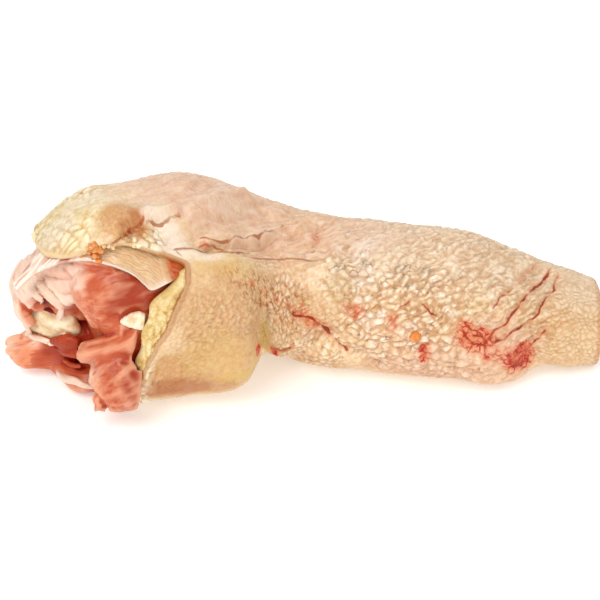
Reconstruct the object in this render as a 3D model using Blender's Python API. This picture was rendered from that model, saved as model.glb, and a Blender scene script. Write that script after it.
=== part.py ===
"""A raw chicken neck with its skin on, lying on its side.

A core of muscle runs through a loose, tapering sleeve of skin. At the shoulder end the skin has
slipped back and the cut muscles stick out in lobes, with a plate of gristle between them, a
sheet of fascia over them and a layer of fat along the edge of the skin. The head end is cut square.

+X runs towards the head end, -Y is the side that shows, +Z is up, and z = 0 is the surface it
lies on. Lengths below are in millimetres, and the meshes are made in metres. A place on the neck
is (along, around): millimetres along the centre line from the shoulder end, and degrees round
it, with 0 at the -Y side, 90 on top and 180 at the back.
"""

import math

import bpy
import numpy as np
from mathutils import Vector

MM = 0.001

# Sections across the neck, from the shoulder end to the head end: the centre (x, y, z), half the
# width and half the height. What would reach below z = 0 is pressed flat.
SECTIONS = np.array(
    [
        (-62.0, -13.5, 19.0, 9.0, 9.0),
        (-55.0, -9.2, 19.4, 15.0, 15.6),
        (-48.0, -5.2, 20.8, 18.8, 20.2),
        (-41.5, -2.0, 21.8, 21.0, 22.8),
        (-35.0, 1.0, 21.6, 21.8, 22.6),
        (-19.0, 7.0, 19.4, 24.8, 20.4),
        (-5.0, 11.0, 15.2, 19.0, 16.2),
        (10.0, 8.5, 14.5, 17.3, 15.5),
        (25.0, 5.8, 14.6, 17.2, 15.6),
        (39.0, 4.0, 14.2, 15.8, 15.2),
        (52.0, 4.2, 11.6, 12.6, 12.6),
        (66.3, 5.2, 8.6, 8.8, 9.6),
    ]
)
SLUMP = 0.85  # below 1 the lower half is fuller than an ellipse, as soft meat lies
TO_CENTRE = (-1.8, -3.75, 0.0)  # brings the middle of the whole neck over the origin
LENGTH_SAMPLES = 600
BEND_WINDOW = 80  # samples that a turn of the centre line is spread over, each way
MM_PER_DEGREE = 0.36  # round the neck, on average

# Where the skin ends at the shoulder, as (around, along)
SHOULDER_EDGE = (
    (-100, 22), (-60, 22.5), (-41, 23), (-29, 23.5), (-15, 25.3), (-5, 27.7), (9, 31.7), (21, 34),
    (30, 35.7), (38, 37.2), (46, 37.6), (50, 35), (54, 31.5), (59, 27), (63, 21), (68, 16.7),
    (76, 13.9), (89, 12.1), (100, 12), (118, 13), (134, 14.5), (180, 18), (230, 20.5), (260, 22),
)
EDGE_ROUND = 0.6  # how far the middle of the skin stands out at both ends, which rounds its edges

# The skin's thickness with the fat under it, as (along, mm)
SKIN_DEPTH = ((0, 2.2), (30, 2.4), (42, 3.4), (52, 5.4), (62, 5.4), (80, 3.8), (110, 3.6), (136, 2.4))
GAP = 0.4  # between one layer and the next
FASCIA_THICK = 0.8
FASCIA_ROOM_ABOVE = 8.0  # nothing stands above the sheet, so its room is this many gaps higher

# Folds and creases of the skin: path as (along, around), half width, height (below 0 a crease)
FOLDS = {
    "shoulder_hump": ([(46, 108), (56, 108)], 9.0, 1.8),
    "roll": ([(33, 72), (37, 71), (41.5, 75), (47, 82), (52, 91), (57, 101)], 2.6, 2.2),
    "roll_crease": ([(35, 63), (40, 64), (46, 71), (53, 82), (60, 97)], 2.4, -1.6),
    "flap_crease": ([(43, 57), (48, 60), (54, 61), (62, 68), (67, 82)], 2.2, -2.0),
    "back_fold": ([(54, 70), (60, 82), (65, 98), (68, 120)], 2.0, -1.2),
    "cross_fold": ([(72, 99), (74, 83), (74.5, 69), (72, 61)], 2.2, -1.2),
    "crook": ([(59, -62), (57.5, -45), (55.5, -18), (55, -6), (56, 5), (58, 18)], 4.2, -2.6),
    "crook_right": ([(68, -34), (69.5, -22), (73, -12), (77, 3)], 3.0, -1.5),
    "crook_pad": ([(62, -30), (63, 0)], 4.0, 1.2),
    "shoulder_bulge": ([(19, 84), (26, 80)], 4.0, 1.4),
    "belly": ([(28, -52), (44, -42)], 9.0, 1.8),
    "throat_crease": ([(75, 6), (78.5, 2), (82, -9), (88, -22)], 2.0, -1.2),
    "head_crease_1": ([(120, 86), (115, 56), (111.6, 38), (109, 22)], 2.0, -1.1),
    "head_crease_2": ([(123, 80), (120, 50), (116.8, 26)], 2.0, -0.9),
    "head_crease_3": ([(121, 24), (117, 4), (118, -20)], 2.2, -1.4),
    "hanging_pad": ([(111, -38), (115, -48)], 5.0, 1.9),
    "head_pinch": ([(120, -20), (122, -60)], 4.5, -1.8),
}
# The flap of skin that lies over the neck from below: its upper edge, how far it stands up there,
# how wide that step is, how far down it thins out, and how quickly the edge fades at its far end
FLAP_EDGE = [(37, 53), (42, 54.5), (47, 55.5), (51, 53.5), (56.5, 52.5), (68.5, 57.5), (75, 62)]
FLAP_RISE, FLAP_STEP, FLAP_REACH, FLAP_FADE = 1.8, 0.43, 14.0, 5.0

# The fascia over the muscles, in the notch of the skin: its two edges as (along, around)
FASCIA_LOWER = (
    (5, 94), (8.4, 90), (12.1, 80), (15.7, 70), (19, 60.5), (21.5, 53), (24.4, 46), (27.2, 39.5),
    (28.8, 34), (29.8, 31), (31, 38), (32.8, 48),
)
FASCIA_UPPER = (
    (5, 106), (9, 106), (12.5, 100), (14.5, 88), (18, 78), (21.5, 72), (27, 68), (30.5, 64), (32.8, 58),
)

# The layer of fat in front of the skin's edge: how wide it is at places round the neck
FAT_WIDTH = ((-18, 1.4), (-5, 2.8), (7, 4.8), (20, 5.4), (34, 4.2), (45, 1.8))  # (around, mm)
FAT_LUMP_HEIGHT, FAT_LUMP_DEGREES = 0.3, 3.0  # the free side is lumpy
FAT_TOP = 0.9  # below the skin's surface
FAT_THICK = 1.2  # deeper than the skin
# Its section: share of the width from the skin's edge, then mm below the outside
FAT_CROWN = ((0.0, 0.3), (0.45, 0.0), (0.9, 0.9))

# Where the muscle inside the skin starts, as (around, along), and where it ends
CORE_START = (
    (-100, 19), (-45, 20), (20, 22), (48, 23), (60, 19), (75, 16), (110, 16), (180, 21), (230, 21),
    (260, 19),
)
CORE_END = 134.6
CORE_GAP = ((0, 2.1), (36, 2.1), (46, 0.7), (130, 0.7), (135, 0.5))  # (along, mm below the skin)

# Muscles at the cut: path from the root out, then half width and half height at each point
MUSCLES = {
    "upper": (
        [(-26, -2, 26), (-31.5, -5, 25.8), (-37, -7.5, 25), (-41.5, -9, 23.8), (-44.5, -10, 22.8)],
        [(7, 6), (7.5, 6.8), (8, 7.4), (6.8, 6.6), (3.4, 3.6)],
    ),
    "tongue": (
        [(-28, -12, 25.5), (-31.5, -15, 22.5), (-36, -15.6, 19), (-41, -14, 15.6), (-45.5, -12, 13.6)],
        [(2.2, 2.4), (2.6, 2.6), (3.2, 2.8), (3.4, 2.8), (2.4, 2.0)],
    ),
    "lower": (
        [(-24, -6, 11.5), (-30, -11, 10.8), (-35, -15, 10.2), (-39, -18, 9.2), (-41.5, -19.6, 8)],
        [(7.5, 8.5), (8, 9), (7.8, 8.8), (6.6, 7.4), (3.6, 4.4)],
    ),
    "side": (
        [(-44, 3, 7), (-50, 0, 6.8), (-56, -1.5, 6.2), (-60.5, -1.8, 5.5), (-63, -1.8, 5)],
        [(6, 6), (6.2, 6), (5.5, 4.8), (4.2, 3.6), (1.8, 1.6)],
    ),
    "far": (
        [(-40, 5, 21), (-47, 3, 22), (-52, 1.5, 22), (-56, 0.5, 20.5), (-58.5, 0, 18.5)],
        [(9, 9), (9.5, 9), (8.5, 8.4), (6, 6.8), (3, 4)],
    ),
    "back": (
        [(-42, 8, 13), (-50, 6.5, 13), (-56, 5.5, 13), (-60, 5, 12.5)],
        [(9, 10), (9, 9.5), (7, 8), (3.5, 4.5)],
    ),
    "under": (
        [(-40, -6, 4), (-45, -8.5, 3.6), (-49, -6.5, 3.2), (-53, -4, 3)],
        [(4, 3.6), (4, 3.2), (3.2, 2.8), (1.8, 1.8)],
    ),
    "inner": (
        [(-42, 0, 10), (-46.5, -2.5, 10.5), (-50, -4.5, 10.8), (-51.5, -5.2, 10.8)],
        [(4.5, 4), (4.2, 3.6), (3, 2.6), (1.4, 1.3)],
    ),
}
MUSCLE_LUMP = 0.05  # how far each is from an ellipse, as a share of its radius
# Smaller pieces at the cut, given the same way
GRISTLE = (
    [(-59, 0, 11.4), (-56, -1.4, 13), (-52.5, -3.2, 14.4), (-49, -4.8, 15.6), (-47.4, -5.4, 16.2)],
    [(0.6, 1.4), (1.1, 3.2), (1.3, 4.2), (1.1, 3.4), (0.5, 1.6)],
)
FAT_LUMP = (
    [(-35.8, -15.2, 25.4), (-34.6, -15.5, 25.8), (-33.2, -15.8, 26), (-31.9, -16, 26)],
    [(0.9, 1.0), (1.6, 1.7), (1.7, 2.2), (1.0, 1.4)],
)

COLOURS = {
    "skin": ((0.82, 0.62, 0.40), 0.38),
    "flesh": ((0.62, 0.17, 0.12), 0.32),
    "fascia": ((0.78, 0.62, 0.48), 0.30),
    "fat_edge": ((0.84, 0.70, 0.40), 0.35),
    "fat_lump": ((0.90, 0.82, 0.62), 0.35),
    "gristle": ((0.80, 0.68, 0.48), 0.35),
}


def curve_through(rows, position):
    """A smooth curve through equally spaced rows, at positions from 0 to 1."""
    spans = len(rows) - 1
    scaled = np.clip(position, 0, 1) * spans
    index = np.clip(scaled.astype(int), 0, spans - 1)
    t = (scaled - index)[..., None]
    before, start = rows[np.maximum(index - 1, 0)], rows[index]
    end, after = rows[index + 1], rows[np.minimum(index + 2, spans)]
    bend = 2 * before - 5 * start + 4 * end - after
    return start + 0.5 * t * ((end - before) + t * (bend + t * (3 * (start - end) + after - before)))


def smooth_headings(points):
    """The way the centre line runs, eased over its bends so that no section crosses another."""
    turned = np.pad(np.gradient(points, axis=0), ((BEND_WINDOW, BEND_WINDOW), (0, 0)), mode="edge")
    weights = np.hanning(2 * BEND_WINDOW + 1)
    eased = np.stack([np.convolve(column, weights, "valid") for column in turned.T], axis=1)
    return eased / np.linalg.norm(eased, axis=1, keepdims=True)


SAMPLES = curve_through(SECTIONS, np.linspace(0, 1, LENGTH_SAMPLES))
STEPS = np.linalg.norm(np.diff(SAMPLES[:, :2], axis=0), axis=1)
ALONG = np.concatenate([[0], np.cumsum(STEPS)])
HEADING = smooth_headings(SAMPLES[:, :2])


def at_knots(knots, position):
    """A smooth curve through (position, value) knots that never swings past them."""
    places, values = np.array(knots, float).T
    rises = np.diff(values) / np.diff(places)
    before, after = rises[:-1], rises[1:]
    goes_on = before * after > 0
    middle = np.where(goes_on, 2 * before * after / np.where(goes_on, before + after, 1), 0)
    slopes = np.concatenate([rises[:1], middle, rises[-1:]])
    index = np.clip(np.searchsorted(places, position) - 1, 0, len(places) - 2)
    step = places[index + 1] - places[index]
    t = np.clip((position - places[index]) / step, 0, 1)
    start, end = values[index], values[index + 1]
    ease = t * t * (3 - 2 * t)
    bend = t * (1 - t) * step * ((1 - t) * slopes[index] - t * slopes[index + 1])
    return start + (end - start) * ease + bend


def section(along):
    """The centre, the half width, the half height and the level normal to the -Y side."""
    values = [np.interp(along, ALONG, SAMPLES[:, i]) for i in range(5)]
    heading_x, heading_y = (np.interp(along, ALONG, HEADING[:, i]) for i in range(2))
    return *values, heading_y, -heading_x


def path_distance(along, around, path):
    """How far each place is from a path, in mm, and on which side: above 0 is the lower side."""
    middle = np.mean([p[0] for p in path])
    wide, high = section(middle)[3:5]
    mm_per_degree = math.radians((wide + high) / 2)
    px, py = along, around * mm_per_degree
    nearest = np.full(np.shape(px), 1e9)
    side = np.ones(np.shape(px))
    for (a0, r0), (a1, r1) in zip(path, path[1:]):
        dx, dy = a1 - a0, (r1 - r0) * mm_per_degree
        ox, oy = px - a0, py - r0 * mm_per_degree
        t = np.clip((ox * dx + oy * dy) / (dx * dx + dy * dy), 0, 1)
        gap = np.hypot(ox - t * dx, oy - t * dy)
        closer = gap < nearest
        nearest = np.where(closer, gap, nearest)
        side = np.where(closer, np.sign(oy * dx - ox * dy) * -1, side)
    return nearest, side


def relief(along, around):
    """Height of the folds above the plain skin, in mm."""
    around = (around + 100) % 360 - 100
    height = np.zeros(np.shape(along))
    for path, half_width, rise in FOLDS.values():
        distance, _ = path_distance(along, around, path)
        height = height + rise * np.exp(-((distance / half_width) ** 2))
    distance, side = path_distance(along, around, FLAP_EDGE)
    inside = 1 / (1 + np.exp(-side * distance / FLAP_STEP))
    ends = np.exp(-((np.maximum(0, along - FLAP_EDGE[-1][0]) / FLAP_FADE) ** 2))
    return height + FLAP_RISE * inside * ends * np.exp(-((distance / FLAP_REACH) ** 2))


def on_neck(along, around, depth, folded):
    """Points at this depth under the skin's surface, in mm; folded points follow its folds."""
    x, y, z, wide, high, side_x, side_y = section(along)
    angle = np.radians(around)
    across, up = np.cos(angle), np.sin(angle)
    fullness = np.where(up < 0, SLUMP, 1.0)
    outward_across, outward_up = across / wide, up / high
    stretch = np.hypot(outward_across, outward_up)
    out = -depth + (relief(along, around) if folded else 0)
    level = wide * np.sign(across) * np.abs(across) ** fullness + out * outward_across / stretch
    height = high * np.sign(up) * np.abs(up) ** fullness + out * outward_up / stretch
    height = np.maximum(height + z, np.maximum(depth, 0))
    return np.stack([x + side_x * level, y + side_y * level, height], axis=-1)


def skin_depth(along):
    return at_knots(SKIN_DEPTH, along)


def add_object(name, points, faces, into):
    """A mesh object from points in mm."""
    mesh = bpy.data.meshes.new(name)
    mesh.from_pydata(((np.asarray(points) + TO_CENTRE) * MM).tolist(), [], faces)
    mesh.validate()
    mesh.shade_smooth()
    thing = bpy.data.objects.new(name, mesh)
    into.objects.link(thing)
    return thing


def grid_faces(rows, columns, first, wraps):
    """Quads between rows of points; wraps joins the last column to the first."""
    faces = []
    for row in range(rows - 1):
        for column in range(columns if wraps else columns - 1):
            beside = (column + 1) % columns
            low, high = first + row * columns, first + (row + 1) * columns
            faces.append((low + column, high + column, high + beside, low + beside))
    return faces


def add_tube(name, layers, into):
    """A closed solid through a list of closed rings, the last of which meets the first."""
    count = len(layers[0])
    faces = grid_faces(len(layers) + 1, count, 0, True)
    total = count * len(layers)
    faces = [tuple(i % total for i in face) for face in faces]
    return add_object(name, np.concatenate(layers), faces, into)


def add_capped(name, layers, into):
    """A closed solid through open-ended rings, with a point at the middle of each end."""
    count = len(layers[0])
    points = np.concatenate([*layers, [layers[0].mean(axis=0)], [layers[-1].mean(axis=0)]])
    faces = grid_faces(len(layers), count, 0, True)
    start, end = count * len(layers), count * len(layers) + 1
    last = count * (len(layers) - 1)
    for i in range(count):
        beside = (i + 1) % count
        faces.append((start, i, beside))
        faces.append((end, last + beside, last + i))
    return add_object(name, points, faces, into)


def spread_along_edge(columns):
    """Places round the neck that are closer together where the skin's edge runs lengthwise."""
    around = np.linspace(-100, 260, 721)
    edge = at_knots(SHOULDER_EDGE, around)
    step = np.hypot(np.diff(around) * MM_PER_DEGREE, np.diff(edge))
    walked = np.concatenate([[0], np.cumsum(step)])
    return np.interp(np.linspace(0, walked[-1], columns, endpoint=False), walked, around)


def make_skin(into, name="skin", rows=52, columns=44):
    """The sleeve: outside from shoulder to head, a rounded edge, and back along the inside."""
    around = spread_along_edge(columns)
    start = at_knots(SHOULDER_EDGE, around)
    end = np.full(columns, ALONG[-1])
    layers = []
    for u in np.linspace(0, 1, rows):
        layers.append(on_neck(start + (end - start) * u, around, 0.0, True))
    layers.append(on_neck(end + EDGE_ROUND, around, skin_depth(end) / 2, False))
    for u in np.linspace(1, 0, rows // 3) ** 1.5:
        along = start + (end - start) * u
        layers.append(on_neck(along, around, skin_depth(along), False))
    layers.append(on_neck(start - EDGE_ROUND, around, skin_depth(start) / 2, True))
    return add_tube(name, layers, into)


def make_skin_room(into, rows=12, columns=60):
    """The room round the skin's edge at the shoulder, to cut the lobes clear of it."""
    reach, outside = 26.0, 6.0  # mm along the neck, and out from its surface
    around = spread_along_edge(columns)
    start = at_knots(SHOULDER_EDGE, around) - EDGE_ROUND - 1.2 * GAP
    layers = []
    for u in np.linspace(0, 1, rows):
        layers.append(on_neck(start + reach * u, around, -outside, False))
    for u in np.linspace(1, 0, rows):
        along = start + reach * u
        layers.append(on_neck(along, around, skin_depth(along) + 1.5 * GAP, False))
    return add_tube("skin_room", layers, into)


def make_fascia(into, name="fascia", grow=0.0, rows=18, columns=9):
    """A thin sheet over the muscles in the notch of the skin; grown, it is the room it needs."""
    lower = [(a, r - 2 * grow) for a, r in FASCIA_LOWER]
    upper = [(a, r + 2 * grow) for a, r in FASCIA_UPPER]
    layers = []
    for along in np.linspace(FASCIA_LOWER[0][0] - grow, FASCIA_LOWER[-1][0] + grow, rows):
        around = np.linspace(at_knots(lower, along), at_knots(upper, along), columns)
        place = np.full(columns, along)
        top = skin_depth(place) + 2 * GAP
        outside = on_neck(place, around, top - FASCIA_ROOM_ABOVE * grow, False)
        inside = on_neck(place, around, top + FASCIA_THICK + grow, False)
        layers.append(np.concatenate([outside, inside[::-1]]))
    return add_capped(name, layers, into)


def make_fat_edge(into, name="fat_edge", grow=0.0):
    """The layer of fat that shows along the front of the skin's edge, lumpy on its free side."""
    layers = []
    for around in np.linspace(FAT_WIDTH[0][0] - 2 * grow, FAT_WIDTH[-1][0] + 2 * grow, 22):
        edge = at_knots(SHOULDER_EDGE, around) - 1.6 * GAP - EDGE_ROUND
        wide = at_knots(FAT_WIDTH, around) + FAT_LUMP_HEIGHT * math.sin(around / FAT_LUMP_DEGREES)
        bottom = skin_depth(edge) + FAT_THICK + grow
        section_points = [(edge - share * wide, FAT_TOP + deeper - grow) for share, deeper in FAT_CROWN]
        section_points[0] = (edge + grow, section_points[0][1])
        section_points.append((edge - wide - grow, bottom * 0.65))
        section_points.append((edge - wide * 0.8, bottom))
        section_points.append((edge + grow, bottom))
        along, under = np.array(section_points).T
        layers.append(on_neck(along, np.full(len(along), around), under, False))
    return add_capped(name, layers, into)


def make_core(into, rows=26, columns=36):
    """The muscle that runs through the sleeve, a gap inside it, cut on a slant at the shoulder."""
    around = np.linspace(-100, 260, columns, endpoint=False)
    start = at_knots(CORE_START, around)
    layers = []
    for u in np.linspace(0, 1, rows):
        along = start + (CORE_END - start) * u
        deep = skin_depth(along) + at_knots(CORE_GAP, along)
        layers.append(on_neck(along, around, deep, False))
    return add_capped("flesh", layers, into)


def make_pod(name, path, radii, into, rings=9, columns=14):
    """A soft tapering muscle along a curved path, with a rounded end."""
    rows = curve_through(np.hstack([path, radii]).astype(float), np.linspace(0, 1, rings))
    centres = rows[:, :3]
    headings = np.gradient(centres, axis=0)
    angle = np.linspace(0, 2 * math.pi, columns, endpoint=False)
    layers = []
    for centre, heading, (wide, high) in zip(centres, headings, rows[:, 3:]):
        side = np.array(Vector(heading).cross(Vector((0, 0, 1))).normalized())
        up = np.array(Vector(side).cross(Vector(heading)).normalized())
        lump = 1 + MUSCLE_LUMP * np.sin(3 * angle + centre[0])
        ring = centre + np.outer(wide * lump * np.cos(angle), side)
        ring += np.outer(high * lump * np.sin(angle), up)
        ring[:, 2] = np.maximum(ring[:, 2], 0.0)
        layers.append(ring)
    return add_capped(name, layers, into)


def make_grown(name, shape, into):
    """The room that a small piece needs in the muscles round it."""
    path, radii = np.array(shape[0], float), np.array(shape[1], float) + GAP
    path[0] -= (path[1] - path[0]) / np.linalg.norm(path[1] - path[0]) * GAP
    path[-1] += (path[-1] - path[-2]) / np.linalg.norm(path[-1] - path[-2]) * GAP
    return make_pod(name, path, radii, into)


def boolean(target, operation, other):
    """Joins or cuts with one object or a whole collection, and applies it."""
    change = target.modifiers.new(operation.lower(), "BOOLEAN")
    change.operation = operation
    change.solver = "MANIFOLD"  # EXACT drops whole lobes where these round forms cross
    if isinstance(other, bpy.types.Collection):
        change.operand_type = "COLLECTION"
        change.collection = other
    else:
        change.object = other
    bpy.context.view_layer.update()
    graph = bpy.context.evaluated_depsgraph_get()
    mesh = bpy.data.meshes.new_from_object(target.evaluated_get(graph))
    target.modifiers.clear()
    target.data = mesh


def new_collection(name, parent):
    made = bpy.data.collections.new(name)
    parent.children.link(made)
    return made


def remove_collection(collection):
    for thing in list(collection.objects):
        bpy.data.objects.remove(thing)
    bpy.data.collections.remove(collection)


def make_flesh(into):
    """The core and its lobes as one body, with room for the pieces that lie against it."""
    helpers = new_collection("helpers", bpy.context.scene.collection)
    lobes = make_pod("lobes", *MUSCLES["upper"], helpers)
    others = new_collection("other_lobes", helpers)
    for name in list(MUSCLES)[1:]:
        make_pod(name, *MUSCLES[name], others)
    boolean(lobes, "UNION", others)
    for room in (
        make_skin_room(helpers),
        make_fascia(helpers, "fascia_room", GAP),
        make_fat_edge(helpers, "fat_room", 1.4 * GAP),
    ):
        boolean(lobes, "DIFFERENCE", room)
    flesh = make_core(into)
    boolean(flesh, "UNION", lobes)
    boolean(flesh, "DIFFERENCE", make_grown("gristle_room", GRISTLE, helpers))
    boolean(flesh, "DIFFERENCE", make_grown("lump_room", FAT_LUMP, helpers))
    remove_collection(others)
    remove_collection(helpers)
    return flesh


def paint(thing, kind):
    colour, roughness = COLOURS[kind]
    material = bpy.data.materials.new(kind)
    material.use_nodes = True
    shader = material.node_tree.nodes["Principled BSDF"]
    shader.inputs["Base Color"].default_value = (*colour, 1.0)
    shader.inputs["Roughness"].default_value = roughness
    material.diffuse_color = (*colour, 1.0)
    thing.data.materials.clear()
    thing.data.materials.append(material)
    thing.data.shade_smooth()


def main():
    for thing in list(bpy.data.objects):
        bpy.data.objects.remove(thing)
    neck = new_collection("raw_chicken_neck", bpy.context.scene.collection)
    paint(make_skin(neck), "skin")
    paint(make_fascia(neck), "fascia")
    paint(make_fat_edge(neck), "fat_edge")
    paint(make_pod("gristle", *GRISTLE, neck), "gristle")
    paint(make_pod("fat_lump", *FAT_LUMP, neck), "fat_lump")
    paint(make_flesh(neck), "flesh")


main()
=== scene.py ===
import math

import bmesh
import bpy
import numpy as np
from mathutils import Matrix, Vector
from mathutils.bvhtree import BVHTree


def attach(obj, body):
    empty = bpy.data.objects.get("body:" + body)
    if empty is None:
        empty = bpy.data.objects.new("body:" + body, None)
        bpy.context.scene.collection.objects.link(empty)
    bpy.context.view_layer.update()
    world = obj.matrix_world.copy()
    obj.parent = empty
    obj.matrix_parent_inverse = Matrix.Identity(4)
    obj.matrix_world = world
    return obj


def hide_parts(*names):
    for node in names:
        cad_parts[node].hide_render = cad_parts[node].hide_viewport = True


# A raw chicken neck with its skin on. Lengths are in millimetres until a mesh is made.
# A place on the neck is (along, around): mm along the middle line from the shoulder end, and
# degrees round it, with 0 at the near side, 90 on top and 180 at the back.

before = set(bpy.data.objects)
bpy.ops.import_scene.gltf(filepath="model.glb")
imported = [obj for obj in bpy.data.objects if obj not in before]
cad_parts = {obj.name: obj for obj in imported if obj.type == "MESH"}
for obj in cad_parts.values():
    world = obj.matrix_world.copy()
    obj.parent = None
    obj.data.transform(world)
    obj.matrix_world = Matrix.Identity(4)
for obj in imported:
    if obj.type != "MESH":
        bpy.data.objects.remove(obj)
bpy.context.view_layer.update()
mm = 0.001
print("frame loaded")

neck = {
    # centre (x, y, z), half width and half height of each section, from shoulder to head
    "sections": [
        (-62.0, -13.5, 19.0, 9.0, 9.0), (-55.0, -9.2, 19.4, 15.0, 15.6), (-48.0, -5.2, 20.8, 18.8, 20.2),
        (-41.5, -2.0, 21.8, 21.0, 22.8), (-35.0, 1.0, 21.6, 21.8, 22.6), (-19.0, 7.0, 19.4, 24.8, 20.4),
        (-5.0, 11.0, 15.2, 19.0, 16.2), (10.0, 8.5, 14.5, 17.3, 15.5), (25.0, 5.8, 14.6, 17.2, 15.6),
        (39.0, 4.0, 14.2, 15.8, 15.2), (52.0, 4.2, 11.6, 12.6, 12.6), (66.3, 5.2, 8.6, 8.8, 9.6),
    ],
    "slump": 0.85,  # below 1 the lower half is fuller, as soft meat lies
    "toCentre": (-1.8, -3.75, 0.0),
    "samples": 600,
    "bendWindow": 80,
    "mmPerDegree": 0.36,
    "seam": -100,  # the place round the neck where the grids start, on the underside
    "unrollFrom": 60,  # the place round the neck that patterns are laid out from
}

skin = {
    # where the skin ends at the shoulder, as (around, along)
    "shoulderEdge": (
        (-100, 22), (-60, 22.5), (-41, 23), (-29, 23.5), (-15, 25.3), (-5, 27.7), (9, 31.7), (21, 34),
        (30, 36.1), (38, 37.8), (46, 38.2), (50, 35.2), (54, 31.5), (59, 27), (63, 21), (68, 16.7),
        (76, 13.9), (89, 12.1), (100, 12), (118, 13), (134, 14.5), (180, 18), (230, 20.5), (260, 22),
    ),
    "depth": ((0, 2.2), (30, 2.4), (42, 3.4), (52, 5.4), (62, 5.4), (80, 3.8), (110, 3.6), (136, 2.4)),
    "edgeRound": 0.6,
    "rows": 300,
    "columns": 292,
    "insideRows": 24,
    "hiddenShare": 0.5,  # how dense the columns are on the far side
    "shownSide": (-75, 118),
    "raggedEdge": 0.35,
    "raggedEnd": 0.5,
    "unevenDepth": 0.35,
    # mm across each kind of relief, and how far it rises or sinks
    "sizes": {
        "pebbles": 1.9, "pimples": 1.15, "crumbs": 1.9, "creases": 3.2, "bands": 4.2, "swells": 7.5,
    },
    "relief": {
        "pebbles": 0.55, "pimples": 0.2, "crumbs": 0.6, "creases": 0.32, "bands": 0.34, "swells": 0.45,
    },
    "lineWidth": 0.68,
    # the brown line at the cut edge: where it comes and goes round the neck, and mm across
    "brownRim": {"comes": (-26, -12), "goes": (58, 48), "rowsGo": (58, 50), "width": 0.24, "amount": 0.8},
    "brownRows": (1.3, 1.2, 0.5),  # how brown each row of the rim is
    # the painted sheen on top, a pale patch: where it comes and goes, along the neck and round it
    "paintedTopSheen": {"amount": 0.42, "along": (70, 84), "comes": (28, 66), "goes": (150, 110)},
}

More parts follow.
